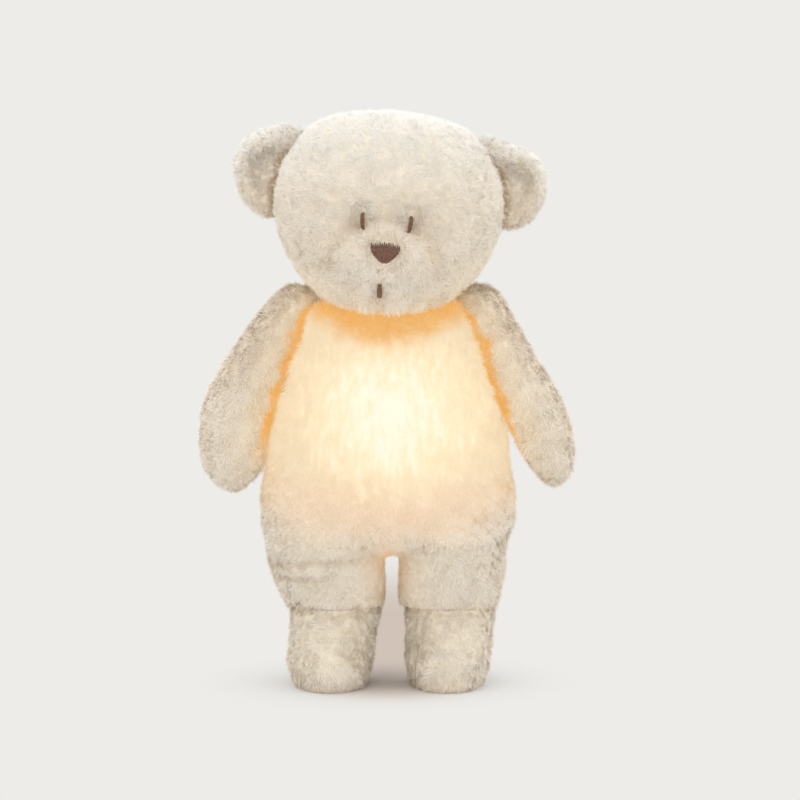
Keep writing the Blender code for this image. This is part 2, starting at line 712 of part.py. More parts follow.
def make_nose(tree, neck, head_room):
    """A stitched pad with a straight top edge and a blunt point below."""
    bm = bmesh.new()
    corners = [
        bm.verts.new((x * NOSE_WIDTH, -NOSE_PROUD, z * NOSE_HEIGHT)) for x, z in NOSE_POINT_SHARES
    ]
    bmesh.ops.bevel(
        bm,
        geom=[bm.faces.new(corners)] + corners,
        offset=NOSE_CORNER,
        segments=RIM_STEPS,
        profile=0.5,
        affect="VERTICES",
    )
    pad = bmesh.ops.extrude_face_region(bm, geom=bm.faces[:])
    grown = [g for g in pad["geom"] if isinstance(g, bmesh.types.BMVert)]
    bmesh.ops.translate(bm, vec=(0, 2 * NOSE_PROUD + NOSE_WIDTH / 4, 0), verts=grown)
    bmesh.ops.recalc_face_normals(bm, faces=bm.faces)
    rim = [e for e in bm.edges if all(v.co.y < 0 for v in e.verts)]
    bmesh.ops.bevel(bm, geom=rim, offset=NOSE_PROUD / 3, segments=1, profile=0.5, affect="EDGES")
    bmesh.ops.transform(bm, matrix=facing(tree, 0, NOSE_BELOW), verts=bm.verts)
    cut(keep(to_mesh(bm, "nose_stitching"), "nose_stitching", "thread", neck), head_room)


def make_arm(word, side):
    shoulder = joint_axis(f"{word}_shoulder_axis", (side * SHOULDER_X, 0, SHOULDER_Z))
    inside = as_cutter(half_space(f"{word}_inside_shoulder", side, True, GAP), f"{word}_inside_shoulder")
    name = f"{word}_arm"
    skin = keep(arm_form(name, side, LIMB_MESH), name, "pile", shoulder)
    hollow = as_cutter(arm_form(f"{name}_hollow", side, INNER_LIMB_MESH, grow=-SKIN), f"{name}_hollow")
    cut(skin, hollow, inside)
    name = f"{word}_arm_filling"
    filling = keep(arm_form(name, side, INNER_LIMB_MESH, grow=-SKIN - GAP), name, "filling", shoulder)
    cut(filling, inside)


def make_leg(word, side, trunk_room, below_ankle, above_ankle, below_sole):
    for form, finish, cutters_there in (
        (leg_form, f"{word}_leg", (trunk_room, below_ankle)),
        (foot_form, f"{word}_foot", (above_ankle, below_sole)),
    ):
        skin = keep(form(finish, side, LIMB_MESH), finish, "pile")
        hollow_name = f"{finish}_hollow"
        hollow = as_cutter(form(hollow_name, side, INNER_LIMB_MESH, grow=-SKIN), hollow_name)
        cut(skin, hollow, *cutters_there)
        name = f"{finish}_filling"
        filling = keep(form(name, side, INNER_LIMB_MESH, grow=-SKIN - GAP), name, "filling")
        cut(filling, *cutters_there)


def make_legs():
    trunk_room = as_cutter(trunk_form("trunk_room", TRUNK_MESH, grow=GAP), "trunk_room")
    below_ankle = as_cutter(
        block("below_ankle", (-REACH, -REACH, ANKLE - REACH), (REACH, REACH, ANKLE)), "below_ankle"
    )
    above_ankle = as_cutter(
        block("above_ankle", (-REACH, -REACH, ANKLE - GAP), (REACH, REACH, REACH)), "above_ankle"
    )
    below_sole = as_cutter(block("below_sole", (-REACH, -REACH, -REACH), (REACH, REACH, 0)), "below_sole")
    for word, side in (("left", 1), ("right", -1)):
        make_leg(word, side, trunk_room, below_ankle, above_ankle, below_sole)


def unit_y(depth):
    """The y of a depth behind the unit's front face."""
    return UNIT_FRONT + depth


def post_places():
    return [(x, UNIT_Z + z) for x in (-POST_X, POST_X) for z in (-POST_Z, POST_Z)]


def make_diffuser(unit):
    """The front shell that spreads the light, with four posts for the case screws."""
    shell = keep(
        oval("light_diffuser", UNIT_HALF, unit_y(0), unit_y(DIFFUSER_DEPTH), rim=DIFFUSER_ROUND),
        "light_diffuser",
        "diffuser",
        unit,
    )
    inner_half = tuple(half - UNIT_WALL for half in UNIT_HALF)
    inside = oval(
        "diffuser_inside",
        inner_half,
        unit_y(UNIT_WALL),
        unit_y(DIFFUSER_DEPTH + OVERRUN),
        rim=DIFFUSER_ROUND - UNIT_WALL,
    )
    cut(shell, as_cutter(inside, "diffuser_inside"))
    start = unit_y(DIFFUSER_ROUND * POST_START_SHARE)
    tip = SCREW_LENGTH + SCREW_HEAD + SCREW_SUNK + GAP
    for i, place in enumerate(post_places()):
        name = f"diffuser_post_{i + 1}"
        post = rod(name, POST_RADIUS, start, unit_y(BOARD_AT - GAP), place)
        cut(shell, as_cutter(post, name), operation="UNION")
        name = f"diffuser_hole_{i + 1}"
        hole = rod(name, SCREW_RADIUS + SCREW_PLAY, unit_y(UNIT_DEPTH - tip), unit_y(BOARD_AT), place)
        cut(shell, as_cutter(hole, name))


def make_back_shell(unit):
    """The rear shell, with screw posts, two pegs for the button board and its openings."""
    start = unit_y(DIFFUSER_DEPTH + GAP)
    shell = keep(
        oval("back_shell", UNIT_HALF, start, UNIT_BACK, rim=BACK_ROUND, rim_at="back"),
        "back_shell",
        "case",
        unit,
    )
    inner_half = tuple(half - UNIT_WALL for half in UNIT_HALF)
    inside = oval("back_inside", inner_half, start - OVERRUN, UNIT_BACK - UNIT_WALL)
    cut(shell, as_cutter(inside, "back_inside"))
    row = UNIT_Z + BUTTON_BOARD_UP
    root = UNIT_BACK - UNIT_WALL / 2
    on_board = unit_y(BOARD_AT + BOARD + GAP)
    on_button_board = unit_y(BUTTON_BOARD_AT + BUTTON_BOARD_DEPTH + GAP)
    solid = [
        rod(f"back_post_{i + 1}", POST_RADIUS, on_board, root, place)
        for i, place in enumerate(post_places())
    ] + [
        rod(f"board_peg_{i + 1}", PEG_RADIUS, on_button_board, root, (x, row))
        for i, x in enumerate((-PEG_X, PEG_X))
    ]
    for mesh in solid:
        cut(shell, as_cutter(mesh, mesh.name), operation="UNION")
    past = UNIT_BACK + OVERRUN
    holes = []
    for i, place in enumerate(post_places()):
        shank = SCREW_RADIUS + SCREW_PLAY
        seat = UNIT_BACK - SCREW_SUNK - SCREW_HEAD - GAP
        holes.append(rod(f"screw_way_{i + 1}", shank, unit_y(BOARD_AT), past, place))
        holes.append(rod(f"screw_seat_{i + 1}", SCREW_HEAD_RADIUS + SCREW_PLAY, seat, past, place))
    inner_face = UNIT_BACK - UNIT_WALL - OVERRUN / 5
    way = BUTTON_RADIUS + BUTTON_PLAY
    for word, x in (("power", -BUTTON_X), ("brightness", BUTTON_X)):
        holes.append(rod(f"{word}_hole", way, inner_face, past, (x, row), 2 * ROUND_SIDES))
    slot = (SOCKET_WIDTH + 2 * GAP, SOCKET_HEIGHT + 2 * GAP)
    holes.append(plate("socket_slot", slot, inner_face, past, (0, row)))
    holes.append(rod("lamp_hole", LAMP_RADIUS + GAP, inner_face, past, (0, row + LAMP_UP)))
    for mesh in holes:
        cut(shell, as_cutter(mesh, mesh.name))


def make_main_board(unit):
    inset = UNIT_WALL + BOARD_MARGIN
    half = tuple(h - inset for h in UNIT_HALF)
    board = keep(
        oval("main_board", half, unit_y(BOARD_AT), unit_y(BOARD_AT + BOARD)), "main_board", "board", unit
    )
    for i, place in enumerate(post_places()):
        name = f"board_hole_{i + 1}"
        hole = rod(name, SCREW_RADIUS + SCREW_PLAY, unit_y(0), UNIT_BACK, place)
        cut(board, as_cutter(hole, name))
    face = unit_y(BOARD_AT - GAP)
    for i in range(LED_COUNT):
        turn = 2 * math.pi * i / (LED_COUNT - 1)
        ring = LED_RING if i else 0
        place = (ring * math.cos(turn), UNIT_Z + ring * math.sin(turn))
        name = f"led_{i + 1}"
        base = plate(name, (LED_SIZE, LED_SIZE), face - LED_BASE, face, place, rim=LED_BASE / 5)
        led = keep(base, name, "led", unit)
        bm = bmesh.new()
        across, rings = LENS_MESH
        bmesh.ops.create_uvsphere(bm, u_segments=across, v_segments=rings, radius=LED_LENS_RADIUS)
        bmesh.ops.translate(bm, vec=(place[0], face - LED_BASE, place[1]), verts=bm.verts)
        behind = (-REACH, face - LED_BASE / 2, -REACH), (REACH, REACH, REACH)
        lens = as_cutter(to_mesh(bm, f"led_lens_{i + 1}"), f"led_lens_{i + 1}")
        cut(lens, as_cutter(block(f"led_behind_{i + 1}", *behind), f"led_behind_{i + 1}"))
        cut(led, lens, operation="UNION")


def tube(name, points, radius, finish, unit, resolution=1):
    """A wire through points, as a bevelled curve with closed ends."""
    curve = bpy.data.curves.new(name, "CURVE")
    curve.dimensions = "3D"
    curve.bevel_depth = radius
    curve.bevel_resolution = resolution
    curve.use_fill_caps = True
    line = curve.splines.new("POLY")
    line.points.add(len(points) - 1)
    for point, place in zip(line.points, points):
        point.co = (*place, 1)
    curve.materials.append(material(finish))
    wire = bpy.data.objects.new(name, curve)
    bear.objects.link(wire)
    hold(wire, unit)


def along_arc(corners, steps=WIRE_STEPS):
    """Points of a smooth run from the first corner to the last, bent round those between them."""
    corners = [Vector(c) for c in corners]
    points = []
    for i in range(steps + 1):
        t = i / steps
        level = corners
        while len(level) > 1:
            level = [a.lerp(b, t) for a, b in zip(level, level[1:])]
        points.append(level[0])
    return points


def make_battery(unit):
    front = unit_y(BOARD_AT + BOARD + GAP)
    back = front + BATTERY_DEPTH
    size = (BATTERY_WIDTH, BATTERY_HEIGHT)
    keep(plate("battery", size, front, back, (0, UNIT_Z), rim=BATTERY_ROUND), "battery", "battery", unit)
    side = -BATTERY_WIDTH / 2 - GAP
    for name, finish, way in (("red_lead", "wire_red", 1), ("black_lead", "wire_black", -1)):
        z = UNIT_Z + way * LEAD_SPACING / 2
        middle = (front + back) / 2
        end = front + LEAD_RADIUS
        corners = (
            (side, middle, z),
            (side - LEAD_OUT, middle, z),
            (side - LEAD_OUT, middle, z),
            (side - LEAD_OUT, end - LEAD_RADIUS, z),
        )
        tube(name, along_arc(corners), LEAD_RADIUS, finish, unit)


def make_buttons(unit):
    front = unit_y(BUTTON_BOARD_AT)
    back = front + BUTTON_BOARD_DEPTH
    row = UNIT_Z + BUTTON_BOARD_UP
    size = (BUTTON_BOARD_WIDTH, BUTTON_BOARD_HEIGHT)
    keep(plate("button_board", size, front, back, (0, row)), "button_board", "board", unit)
    face = back + GAP
    flange_front = UNIT_BACK - UNIT_WALL - GAP - BUTTON_FLANGE_DEPTH
    for word, x in (("power", -BUTTON_X), ("brightness", BUTTON_X)):
        size = (SWITCH_SIZE, SWITCH_SIZE)
        housing = plate(f"{word}_switch", size, face, face + SWITCH_DEPTH, (x, row), rim=GAP)
        switch = keep(housing, f"{word}_switch", "switch", unit)
        top = flange_front - BUTTON_TRAVEL - GAP
        plunger = rod(f"{word}_plunger", PLUNGER_RADIUS, face + SWITCH_DEPTH / 2, top, (x, row))
        cut(switch, as_cutter(plunger, f"{word}_plunger"), operation="UNION")
        axis = joint_axis(f"{word}_button_axis", (x, UNIT_BACK, row), unit)
        cap = rod(
            f"{word}_button",
            BUTTON_RADIUS,
            flange_front + BUTTON_FLANGE_DEPTH / 2,
            UNIT_BACK + BUTTON_PROUD,
            (x, row),
            2 * ROUND_SIDES,
            rim=BUTTON_PROUD / 2,
        )
        button = keep(cap, f"{word}_button", "button", axis)
        flange = rod(
            f"{word}_flange",
            BUTTON_RADIUS + BUTTON_FLANGE,
            flange_front,
            flange_front + BUTTON_FLANGE_DEPTH,
            (x, row),
            2 * ROUND_SIDES,
        )
        cut(button, as_cutter(flange, f"{word}_flange"), operation="UNION")
    make_socket(unit, face, row)
    lamp = rod("charge_lamp", LAMP_RADIUS, face, UNIT_BACK + LAMP_PROUD, (0, row + LAMP_UP), rim=GAP)
    keep(lamp, "charge_lamp", "diffuser", unit)
    start = unit_y(BOARD_AT + BOARD + GAP)
    corners = (
        (BOARD_LEAD_X, start, row),
        (BOARD_LEAD_X, front, row),
        (BUTTON_BOARD_WIDTH / 2 + BOARD_LEAD_RADIUS, front - BOARD_LEAD_RADIUS * 2, row),
        (BUTTON_BOARD_WIDTH / 2 - BOARD_LEAD_RADIUS * 2, front - BOARD_LEAD_RADIUS - GAP, row),
    )
    tube("board_lead", along_arc(corners), BOARD_LEAD_RADIUS, "wire_black", unit)


def make_socket(unit, face, row):
    """A charging socket that opens backwards, with its contact tongue."""
    back = UNIT_BACK - SOCKET_SUNK
    shell = keep(
        plate("charging_socket", (SOCKET_WIDTH, SOCKET_HEIGHT), face, back, (0, row)),
        "charging_socket",
        "metal",
        unit,
    )
    inside = (SOCKET_WIDTH - 2 * SOCKET_WALL, SOCKET_HEIGHT - 2 * SOCKET_WALL)
    mouth = plate("socket_mouth", inside, face + SOCKET_FLOOR, UNIT_BACK + OVERRUN, (0, row))
    cut(shell, as_cutter(mouth, "socket_mouth"))
    tongue = plate(
        "socket_tongue",
        (TONGUE_WIDTH, TONGUE_HEIGHT),
        face + SOCKET_FLOOR / 2,
        back - 2 * SOCKET_FLOOR,
        (0, row),
    )
    cut(shell, as_cutter(tongue, "socket_tongue"), operation="UNION")


def make_screws(unit):
    top = UNIT_BACK - SCREW_SUNK
    for i, place in enumerate(post_places()):
        name = f"case_screw_{i + 1}"
        head = rod(name, SCREW_HEAD_RADIUS, top - SCREW_HEAD, top, place, rim=DRIVE_DEPTH / 3)
        screw = keep(head, name, "metal", unit)
        tip = top - SCREW_HEAD - SCREW_LENGTH
        shank = rod(f"{name}_shank", SCREW_RADIUS, tip, top - SCREW_HEAD / 2, place)
        cut(screw, as_cutter(shank, f"{name}_shank"), operation="UNION")
        drive = rod(f"{name}_drive", DRIVE_RADIUS, top - DRIVE_DEPTH, top + OVERRUN, place, sides=6)
        cut(screw, as_cutter(drive, f"{name}_drive"))


def make_light_unit():
    unit = joint_axis("unit_axis", (0, UNIT_BACK, UNIT_Z))
    make_diffuser(unit)
    make_back_shell(unit)
    make_main_board(unit)
    make_battery(unit)
    make_buttons(unit)
    make_screws(unit)


def stand_on_origin():
    """Moves the whole bear so that the middle of its box stands over the origin."""
    bpy.context.view_layer.update()
    view = bpy.context.evaluated_depsgraph_get()
    corners = []
    for piece in bear.objects:
        if piece.type == "EMPTY":
            continue
        made = piece.evaluated_get(view)
        mesh = made.to_mesh()
        corners += [made.matrix_world @ v.co for v in mesh.vertices]
        made.to_mesh_clear()
    for i in range(2):
        bear_origin.location[i] = -(min(c[i] for c in corners) + max(c[i] for c in corners)) / 2
    bpy.context.view_layer.update()


for thing in list(bpy.data.objects):
    bpy.data.objects.remove(thing, do_unlink=True)
bear = new_collection("plush_night_light")
cutters = new_collection("cutters")
bear_origin = bpy.data.objects.new("bear_origin", None)
bear.objects.link(bear_origin)

make_trunk()
make_flap()
make_head()
for word, side in (("left", 1), ("right", -1)):
    make_arm(word, side)
make_legs()
make_light_unit()
stand_on_origin()
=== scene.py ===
"""The dressed model of a standing plush bear with a night light in its belly.

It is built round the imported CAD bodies. Lengths are in metres and +Z is up. The bear faces -Y and
stands on z = 0. Left and right are the bear's own, so its left is +X.
"""

import json
import math

import bmesh
import bpy
import numpy as np
from mathutils import Matrix, Vector
from mathutils.bvhtree import BVHTree


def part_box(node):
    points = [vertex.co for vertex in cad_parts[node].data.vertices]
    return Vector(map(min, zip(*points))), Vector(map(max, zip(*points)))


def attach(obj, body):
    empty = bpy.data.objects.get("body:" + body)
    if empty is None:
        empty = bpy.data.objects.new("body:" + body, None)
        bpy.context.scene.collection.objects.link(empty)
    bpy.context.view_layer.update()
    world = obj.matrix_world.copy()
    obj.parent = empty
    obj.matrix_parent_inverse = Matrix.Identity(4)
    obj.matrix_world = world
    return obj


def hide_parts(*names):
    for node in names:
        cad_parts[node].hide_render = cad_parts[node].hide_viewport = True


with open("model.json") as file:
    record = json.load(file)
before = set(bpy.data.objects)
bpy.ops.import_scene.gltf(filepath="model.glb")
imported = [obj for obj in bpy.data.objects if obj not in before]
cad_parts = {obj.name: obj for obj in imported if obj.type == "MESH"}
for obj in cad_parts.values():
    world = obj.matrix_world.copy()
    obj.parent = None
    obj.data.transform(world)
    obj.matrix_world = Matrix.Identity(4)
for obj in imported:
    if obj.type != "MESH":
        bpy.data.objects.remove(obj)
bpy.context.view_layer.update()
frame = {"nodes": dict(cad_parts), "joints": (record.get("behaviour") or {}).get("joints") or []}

# Places that the frame gives
joints = {joint["name"]: joint for joint in frame["joints"]}
NECK = joints["head_turn"]["pos_m"][2]
MIDDLE_Y = joints["head_turn"]["pos_m"][1]
SHOULDER_X, _, SHOULDER_Z = joints["left_shoulder"]["pos_m"]
HINGE_Z = joints["flap_hinge"]["pos_m"][2]
SHOULDER_LEAN = math.asin(-joints["left_shoulder"]["axis"][2])
POCKET_LOW, POCKET_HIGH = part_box("pocket_lining")
FLAP_LOW, FLAP_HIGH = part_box("back_flap")
BINDING_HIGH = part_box("flap_binding")[1]
UNIT_Z = (POCKET_LOW.z + POCKET_HIGH.z) / 2

GAP = 0.0003
REACH = 0.6  # longer than anything that is cut
TINY = 1e-9
SHARP = math.radians(50)  # edges that turn by more are shaded as edges

# Sizes of the stuffed forms, to the roots of the pile
TRUNK_BOTTOM = 0.092
TRUNK_SIZE = (0.159, 0.105, 0.164)
BELLY_FORWARD = 0.0015
HEAD_SIZE = (0.144, 0.116, 0.130)
HEAD_FORWARD = 0.006
HEAD_SINK = 0.0043
HEAD_ROLL = math.radians(4.5)
HEAD_MIDDLE = Vector((0, MIDDLE_Y - HEAD_FORWARD, NECK + GAP - HEAD_SINK + HEAD_SIZE[2] / 2))
HEAD_SWELLS = (  # how far each stands out, how far across and up it lies, its reach across and up
    (0.0150, 0, -0.029, 0.026, 0.0165),  # muzzle
    (0.0030, 0, -0.013, 0.016, 0.0065),  # its upper roll
    (0.0025, 0.036, -0.026, 0.018, 0.018),  # cheeks
    (0.0015, 0, 0.016, 0.042, 0.013),  # brow
    (-0.0018, 0.0190, -0.0065, 0.0095, 0.0085),  # hollows of the eyes
    (-0.0012, 0, 0.003, 0.010, 0.008),  # bridge of the nose
)
ARM_SIZE = {1: (0.0395, 0.041, 0.1285), -1: (0.0395, 0.041, 0.132)}
ARM_TOP_X, ARM_SPREAD, ARM_RISE, ARM_FORWARD = 0.0600, 0.0440, 0.0135, 0.005
ANKLE = 0.053
LEG_LOW = ANKLE - 0.016
LEG_SIZE = (0.072, 0.086, TRUNK_BOTTOM + 0.033 - LEG_LOW)
LEG_X = 0.0395
LEG_TOP = 0.096  # where the legs' pieces end and the trunk's begins
JOIN_LOW, JOIN_HIGH, JOIN_SMOOTHING = 0.085, 0.123, 45
CROTCH_Z = 0.092
SEAM_Z = 0.205  # the chest's seam shows above this
BODY_FINENESS = 0.0018
THIGH_FOLD_Z, THIGH_FOLD_DEPTH = 0.0805, 0.0018
SOLE_CUT = 0.0005
FOOT_SIZE = (0.0500, 0.078, ANKLE + 0.012 + SOLE_CUT)
FOOT_FORWARD = 0.010
EAR_SIZE = {1: (0.0470, 0.0135, 0.0505), -1: (0.0485, 0.0135, 0.0535)}
EAR_CUP, EAR_OUT, EAR_BACK = 0.0022, 0.0035, 0.006
EAR_ABOVE = {1: 0.0240, -1: 0.0215}
EAR_ROLL, EAR_ROLL_AT, EAR_ROLL_TURN = 0.0070, 0.74, math.radians(62)
EAR_CORNER, EAR_CORNER_LOW = {1: 0.45, -1: 0.22}, 0.04
EAR_ROLL_WIDTH, EAR_BLUNTNESS, EAR_TUCK = 0.21, 0.7, 0.004
EAR_TURN = math.radians(18)
EAR_DROOP = {1: math.radians(3), -1: math.radians(16)}

# Face, measured from the head's middle; the stitches lie below it
MUZZLE_UP = -0.030
NOSE_BELOW, EYE_BELOW, MOUTH_BELOW = 0.0230, 0.0030, 0.0462
NOSE_WIDTH, NOSE_HEIGHT, NOSE_PROUD = 0.0188, 0.0121, 0.0034
EYE_OUT, EYE_LENGTH, EYE_TILT = {1: 0.0141, -1: 0.0151}, 0.0105, math.radians(7)
MOUTH_ACROSS, MOUTH_LENGTH = -0.0014, 0.0142

# Outlines of the stuffed forms, from the top down. Each row is a height, a half width, a half depth,
# a step across and a step forwards, as shares of the form's own height, half width, half depth,
# spread and forward reach.
TRUNK_ROWS = (
    (1.000, 0.00, 0.00, 0, 0.0),
    (0.976, 0.52, 0.46, 0, 0.0),
    (0.902, 0.715, 0.65, 0, 0.0),
    (0.768, 0.795, 0.82, 0, 0.3),
    (0.628, 0.870, 0.93, 0, 0.8),
    (0.445, 0.937, 1.00, 0, 1.0),
    (0.262, 0.978, 0.99, 0, 0.8),
    (0.140, 0.980, 0.93, 0, 0.4),
    (0.049, 0.915, 0.81, 0, 0.0),
    (0.000, 0.00, 0.00, 0, 0.0),
)
HEAD_ROWS = (
    (1.000, 0.00, 0.00, 0, 0.0),
    (0.965, 0.50, 0.46, 0, 0.0),
    (0.890, 0.755, 0.71, 0, 0.0),
    (0.760, 0.925, 0.90, 0, 0.0),
    (0.610, 1.000, 1.00, 0, 0.0),
    (0.454, 0.985, 1.00, 0, 0.0),
    (0.300, 0.880, 0.93, 0, 0.0),
    (0.146, 0.667, 0.74, 0, 0.0),
    (0.042, 0.380, 0.42, 0, 0.0),
    (0.000, 0.00, 0.00, 0, 0.0),
)
# The limbs of its left, 1, and right, -1, aren't quite alike.
ARM_ROWS = {
    1: (
        (1.00, 0.00, 0.00, 0.00, 0.0),
        (0.95, 0.56, 0.52, 0.02, 0.0),
        (0.81, 0.88, 0.85, 0.11, 0.0),
        (0.64, 0.87, 0.90, 0.40, 0.3),
        (0.45, 0.90, 1.00, 0.73, 0.6),
        (0.26, 0.81, 0.96, 0.97, 0.9),
        (0.09, 0.58, 0.74, 1.10, 1.0),
        (0.00, 0.00, 0.00, 1.13, 1.0),
    ),
    -1: (
        (1.00, 0.00, 0.00, 0.00, 0.0),
        (0.95, 0.56, 0.52, 0.03, 0.0),
        (0.81, 0.90, 0.85, 0.22, 0.0),
        (0.64, 0.92, 0.90, 0.57, 0.3),
        (0.45, 1.03, 1.00, 0.85, 0.6),
        (0.26, 1.02, 1.00, 0.94, 0.9),
        (0.09, 0.80, 0.80, 0.96, 1.0),
        (0.00, 0.00, 0.00, 0.97, 1.0),
    ),
}
LEG_ROWS = {
    1: (
        (1.00, 0.00, 0.00, -0.10, 0.0),
        (0.93, 0.72, 0.84, -0.02, 0.0),
        (0.77, 0.98, 1.11, 0.03, 0.0),
        (0.58, 0.92, 1.04, 0.07, 0.0),
        (0.38, 0.90, 0.87, 0.06, 0.0),
        (0.20, 0.845, 0.75, 0.01, 0.0),
        (0.08, 0.70, 0.64, 0.01, 0.0),
        (0.00, 0.00, 0.00, 0.01, 0.0),
    ),
    -1: (
        (1.00, 0.00, 0.00, -0.10, 0.0),
        (0.93, 0.76, 0.84, -0.02, 0.0),
        (0.77, 1.04, 1.11, 0.03, 0.0),
        (0.58, 1.02, 1.04, 0.04, 0.0),
        (0.38, 0.955, 0.88, -0.02, 0.0),
        (0.20, 0.85, 0.75, -0.11, 0.0),
        (0.08, 0.70, 0.64, -0.11, 0.0),
        (0.00, 0.00, 0.00, -0.11, 0.0),
    ),
}
FOOT_ROWS = {
    1: (
        (1.00, 0.00, 0.00, 0.05, 0.0),
        (0.95, 0.70, 0.54, 0.05, 0.0),
        (0.79, 1.06, 0.84, 0.05, 0.2),
        (0.55, 1.04, 0.95, 0.03, 0.8),
        (0.28, 1.01, 1.00, 0.00, 1.0),
        (0.09, 0.90, 0.93, -0.01, 1.0),
        (0.015, 0.74, 0.80, -0.01, 1.0),
        (0.00, 0.00, 0.00, -0.01, 1.0),
    ),
    -1: (
        (1.00, 0.00, 0.00, -0.10, 0.0),
        (0.95, 0.72, 0.54, -0.11, 0.0),
        (0.79, 1.07, 0.84, -0.12, 0.2),
        (0.55, 1.03, 0.94, -0.08, 0.8),
        (0.28, 1.02, 1.00, -0.03, 1.0),
        (0.09, 0.91, 0.93, -0.03, 1.0),
        (0.015, 0.75, 0.80, -0.03, 1.0),
        (0.00, 0.00, 0.00, -0.03, 1.0),
    ),
}
NOSE_LOWER_EDGE = (
    (-0.50, 0.36), (-0.46, 0.14), (-0.35, -0.10), (-0.26, -0.24), (-0.17, -0.36), (-0.08, -0.43),
    (0.08, -0.43), (0.17, -0.36), (0.26, -0.24), (0.35, -0.10), (0.46, 0.14), (0.50, 0.36),
)

# How long the strands of each form's pile are, before they are trimmed or grown in places
PILE_LENGTH = {
    "trunk": 0.0062,
    "head": 0.0060,
    "ear": 0.0058,
    "arm": 0.0062,
    "leg": 0.0060,
    "foot": 0.0058,
    "flap": 0.0062,
}

# A tuft's strands start round its root and lean together. Sizes are for a strand 1 long.
STRANDS = 9
STRAND_WIDTH = 0.062
TUFT_SPREAD = 0.27
TUFT_KINDS = 8
GOLDEN_TURN = math.pi * (3 - math.sqrt(5))

TUFTS_PER_AREA = 0.32e6  # to a square metre
UNDERCOAT = 0.0017
# How the tufts vary: over what length they swirl, lean and change tone, and by how much each one differs
SWIRL_REACH, CURL_REACH, LEAN_REACH, TONE_REACH = 0.019, 0.0075, 0.010, 0.014
WAVES, WAVES_SPREAD = 5, 2.6
TURN_SPREAD, LEAN_SPREAD, LENGTH_SPREAD, TONE_SPREAD = 0.8, 0.12, 0.14, 0.14


def srgb(red, green, blue):
    """A colour as a shader takes it, from how it looks on a screen."""
    shares = (c / 255 for c in (red, green, blue))
    return tuple(c / 12.92 if c <= 0.04045 else ((c + 0.055) / 1.055) ** 2.4 for c in shares)


PILE_TIP = srgb(254, 248, 238)
# A painted highlight: the pile on top of the head and ears is paler, as in the light from above.
PILE_PAINTED_HIGHLIGHT = srgb(253, 251, 247)
PILE_DUSK = srgb(249, 238, 220)
# Painted shade deep in the pile, at the strands' roots.
PILE_ROOT = srgb(233, 216, 191)
# Painted shade in creases, hollows and seams.
PILE_PAINTED_SHADE = srgb(200, 166, 121)
BACKING = srgb(238, 226, 206)
BACKDROP = srgb(237, 236, 233)

# The lamp's light, as it comes out of the pile, and how the pile looks under so much of it
GLOW_WHITE = (0.77, 0.70, 0.60)
GLOW_YELLOW = (0.73, 0.61, 0.41)
GLOW_PEACH = (0.58, 0.49, 0.34)
GLOW_ROSE = (0.58, 0.40, 0.25)
GLOW_AMBER = (0.57, 0.27, 0.035)
LIT_PILE = (0.26, 0.20, 0.13)

# Where that light ends: at the crease beside each arm, whose line bends in above a height, and at the chin
ARM_LINE_Z, ARM_LINE_OUT, ARM_LINE_SLOPE = 0.255, 0.0540, -0.32
ARM_BEND_Z, ARM_BEND = 0.236, 26.0
CHIN_Z, CHIN_CURVE = 0.245, 6.8
CORE_Z, CORE_REACH = 0.182, 0.046
YELLOW_Z, YELLOW_X, YELLOW_WIDE, YELLOW_TALL = 0.184, 0.004, 0.074, 0.066
BELLY_LOW, BELLY_HIGH, BELLY_CURVE = 0.084, 0.156, 2.5  # between these heights the light fades in
CROTCH_LIGHT_Z, CROTCH_LIGHT_REACH = 0.087, 0.006


class Maths:
    """A socket of a finish being made, so that shader maths is written as sums."""

    def __init__(self, finish, socket):
        self.finish, self.socket = finish, socket

    def calculate(self, operation, *others):
        return self.finish.node("ShaderNodeMath", {"operation": operation}, self, *others)

    def __add__(self, other):
        return self.calculate("ADD", other)

    def __sub__(self, other):
        return self.calculate("SUBTRACT", other)

    def __rsub__(self, other):
        return self.finish.node("ShaderNodeMath", {"operation": "SUBTRACT"}, other, self)

    def __mul__(self, other):
        return self.calculate("MULTIPLY", other)

    def __truediv__(self, other):
        return self.calculate("DIVIDE", other)

    def __pow__(self, other):
        return self.calculate("POWER", other)

    __radd__, __rmul__ = __add__, __mul__

    def hill(self, middle, reach):
        """1 at the middle, falling smoothly to nothing a little past reach."""
        away = (self - middle) / reach
        return (away * away * -1).calculate("EXPONENT")

    def ramp(self, start, end):
        """Turns smoothly from 0 at start to 1 at end."""
        settings = {"interpolation_type": "SMOOTHSTEP"}
        ends = (start, end, 0.0, 1.0) if start < end else (end, start, 1.0, 0.0)
        return self.finish.node("ShaderNodeMapRange", settings, self, *ends)


